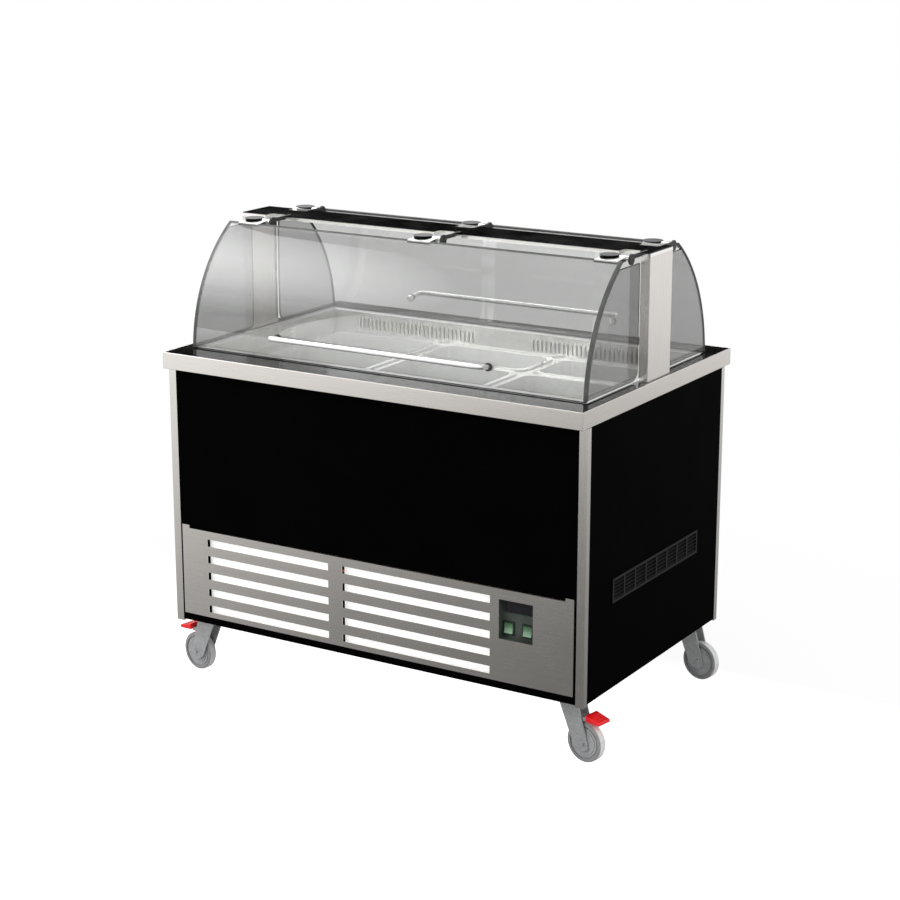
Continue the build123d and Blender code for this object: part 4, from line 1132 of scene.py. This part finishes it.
wheel = castor_wheel()
fork = castor_fork()
pedal = brake_pedal()
for end, y in CASTOR_Y.items():
    for side, x in CASTOR_X.items():
        where = end + "_" + side
        place = Vector((x, y, 0))
        heading = radians(CASTOR_TURN[side])
        turn = (0, 0, heading)
        trail = Vector((cos(heading), sin(heading), 0))
        across = Vector((-sin(heading), cos(heading), 0))
        twin = put(copy_of(wheel, "castor_wheel_" + where), place, turn)
        dress(twin, tyre_grey, "roller_" + where, "grey_tyre", "wheel_" + where)
        wheel_bands(twin, place + TRAIL * trail + Vector((0, 0, WHEEL_RADIUS)), across)
        twin = put(copy_of(fork, "castor_fork_" + where), place, turn)
        dress(twin, zinc_grey, "castor_" + where, "zinc", "fork_" + where, "axle_" + where)
        if end == "front":
            twin = put(copy_of(pedal, "castor_pedal_" + where), place, turn)
            dress(twin, pedal_red, "pedal_" + where, "red_plastic", "brake_" + where)
            metal_lever(twin, place, trail)
for model in (wheel, fork, pedal):
    bpy.data.objects.remove(model)


# Camera, lamps, floor and background

MIDDLE = Vector((0, 0, 0.6))
WORLD_LIGHT = 0.55
FLOOR_SIZE = 40
FLOOR_GREY = (0.82, 0.82, 0.82, 1)

# The camera sees less of the floor's shadow further out
SHADOW_REACH = (0.5, 1.7)
SHADOW_WHITE = (0.92, 1.0)

# Glass lets the floor through more brightly towards the front
GLASS_Y = (0.4, -0.8)
GLASS_LEVELS = (1.0, 2.2)

# Metal and glass mirror the floor dim round a spot, brighter to the left of a line, white far off
DIM_SPOT = (1.307, -1.369, 0)
DIM_LEVEL = 0.02
DIM_SLOPE = 0.150
BRIGHT_X = -0.447
BRIGHT_SLOPE = 0.205
BRIGHT_MOST = 1.4
HORIZON = (4.5, 8.0)


def sight(place, azimuth, elevation, lens, sensor):
    """Camera at a place, with its direction in degrees and its lens in millimetres."""
    data = bpy.data.cameras.new("photo_view")
    data.lens = lens
    data.sensor_width = sensor
    camera = bpy.data.objects.new("photo_view", data)
    camera.location = place
    camera.rotation_euler = (radians(90 - elevation), 0, radians(azimuth))
    bpy.context.scene.collection.objects.link(camera)
    bpy.context.scene.camera = camera


def softbox(name, place, size, watts):
    """Square lamp that looks at the middle of the counter and isn't mirrored in it."""
    data = bpy.data.lights.new(name, "AREA")
    data.energy = watts
    data.size = size
    lamp = bpy.data.objects.new(name, data)
    lamp.location = place
    lamp.rotation_euler = (MIDDLE - Vector(place)).to_track_quat("-Z", "Y").to_euler()
    lamp.visible_glossy = False
    lamp.visible_transmission = False
    bpy.context.scene.collection.objects.link(lamp)


def white_world():
    """Plain light for matt surfaces; white where the camera, metal or glass look at it."""
    world = bpy.data.worlds.new("studio")
    bpy.context.scene.world = world
    world.use_nodes = True
    tree = world.node_tree
    light = tree.nodes["Background"]
    light.inputs["Color"].default_value = WHITE
    light.inputs["Strength"].default_value = WORLD_LIGHT
    seen = add_node(tree, "Background", Color=WHITE, Strength=1.0).outputs["Background"]
    share = any_ray(tree, "Is Camera Ray", "Is Glossy Ray", "Is Transmission Ray")
    mix_shaders(tree, share, light.outputs["Background"], seen, tree.nodes["World Output"])


def mirrored_floor(tree, place, reach):
    """Brightness of the floor as metal and glass mirror it."""
    spot = add_node(tree, "VectorMath", "DISTANCE")
    spot.inputs[1].default_value = DIM_SPOT
    tree.links.new(place, spot.inputs[0])
    dim = reckon(tree, "MULTIPLY_ADD", spot.outputs["Value"], DIM_SLOPE, DIM_LEVEL)
    left = reckon(tree, "SUBTRACT", BRIGHT_X, along_axis(tree, place, "X"))
    left = reckon(tree, "MAXIMUM", left, 0.0)
    near = reckon(tree, "MULTIPLY_ADD", left, BRIGHT_SLOPE, dim)
    near = reckon(tree, "MINIMUM", near, BRIGHT_MOST)
    return mix_values(tree, spread(tree, reach, HORIZON), near, 1.0)


def floor_paint():
    """Pale paint that keeps a faint shadow near the counter and is white further out."""
    paint = Finish("floor_paint", Base_Color=FLOOR_GREY, Roughness=0.9, Specular_IOR_Level=0.0)
    tree = paint.tree
    place = paint.place()
    distance = paint.node("VectorMath", "LENGTH")
    paint.link(place, distance.inputs[0])
    reach = distance.outputs["Value"]
    whiter = spread(tree, reach, SHADOW_REACH, SHADOW_WHITE)
    seen = reckon(tree, "MULTIPLY", any_ray(tree, "Is Camera Ray"), whiter)
    through = any_ray(tree, "Is Transmission Ray")
    mirrored = reckon(tree, "SUBTRACT", any_ray(tree, "Is Glossy Ray"), through)
    mirrored = reckon(tree, "MAXIMUM", mirrored, 0.0)
    straight = spread(tree, along_axis(tree, place, "Y"), GLASS_Y, GLASS_LEVELS)
    strength = mix_values(tree, mirrored, straight, mirrored_floor(tree, place, reach))
    white = paint.node("Emission", Color=WHITE)
    paint.link(strength, white.inputs["Strength"])
    share = reckon(tree, "MAXIMUM", reckon(tree, "MAXIMUM", seen, mirrored), through)
    mix_shaders(tree, share, paint.shader.outputs["BSDF"], white.outputs["Emission"], paint.output)
    return paint.material


def pale_floor():
    """Wide flat floor under the castors."""
    let_go()
    bpy.ops.mesh.primitive_plane_add(size=FLOOR_SIZE, location=(0, 0, 0))
    floor = bpy.context.object
    floor.name = "floor"
    floor.data.materials.append(floor_paint())


def card_glow(name, size, middle, fade):
    """Light that goes from white at a card's edge to its middle's brightness."""
    glow = Finish(name)
    mapping = glow.node("Mapping", Scale=(2 / size[0], 2 / size[1], 1))
    ball = glow.node("TexGradient")
    ball.gradient_type = "SPHERICAL"
    glow.link(glow.place(), mapping.inputs["Vector"])
    glow.link(mapping.outputs["Vector"], ball.inputs["Vector"])
    light = glow.node("Emission", Color=WHITE)
    strength = spread(glow.tree, ball.outputs["Fac"], (0.0, fade), (1.0, middle))
    glow.link(strength, light.inputs["Strength"])
    glow.link(light.outputs["Emission"], glow.output.inputs["Surface"])
    return glow.material


def studio_card(name, place, aim, size, middle, fade=1.0, mirrored=True, through=True):
    """Card that is seen only in mirrors, through glass, or both."""
    let_go()
    bpy.ops.mesh.primitive_plane_add(size=1, location=(0, 0, 0))
    card = bpy.context.object
    card.scale = (*size, 1)
    settle(card, name)
    card.location = place
    card.rotation_euler = (Vector(aim) - Vector(place)).to_track_quat("Z", "Y").to_euler()
    card.data.materials.append(card_glow(name, size, middle, fade))
    card.visible_camera = False
    card.visible_diffuse = False
    card.visible_glossy = mirrored
    card.visible_transmission = through
    card.visible_shadow = False


sight(place=(2.7299, -4.4359, 2.0072), azimuth=31.546, elevation=15.176, lens=86.5, sensor=36.0)
softbox("key_lamp", place=(-2.6, -3.4, 3.4), size=2.4, watts=90.0)
softbox("fill_lamp", place=(3.6, -1.6, 2.6), size=2.4, watts=45.0)
softbox("left_lamp", place=(-3.6, -3.4, 1.2), size=2.2, watts=24.0)
softbox("top_lamp", place=(0.2, 0.2, 3.6), size=2.0, watts=40.0)
white_world()
pale_floor()
studio_card(
    "dark_card",
    place=(-2.6, 4.2, 2.6),
    aim=(0, 0, 2.6),
    size=(8.8, 3.6),
    middle=0.0,
    fade=0.5,
    through=False,
)
studio_card(
    "left_glow",
    place=(-3.2, -1.6, 3.8),
    aim=(0, -1.6, 3.8),
    size=(5.8, 5.2),
    middle=5.0,
)
studio_card(
    "front_glow",
    place=(-2.8, -4.6, 2.4),
    aim=(0, 0, 2.4),
    size=(7.0, 4.6),
    middle=6.3,
    mirrored=False,
)
studio_card(
    "back_glow",
    place=(-3.6, 4.6, 2.1),
    aim=(-0.9, 0, 2.1),
    size=(6.0, 2.2),
    middle=2.6,
    mirrored=False,
)
studio_card(
    "rim_card",
    place=(-2.2, 2.2, 4.0),
    aim=(0, 0, 1.0),
    size=(4.8, 4.4),
    middle=8.0,
)
bpy.context.scene.view_settings.view_transform = "Standard"

let_go()
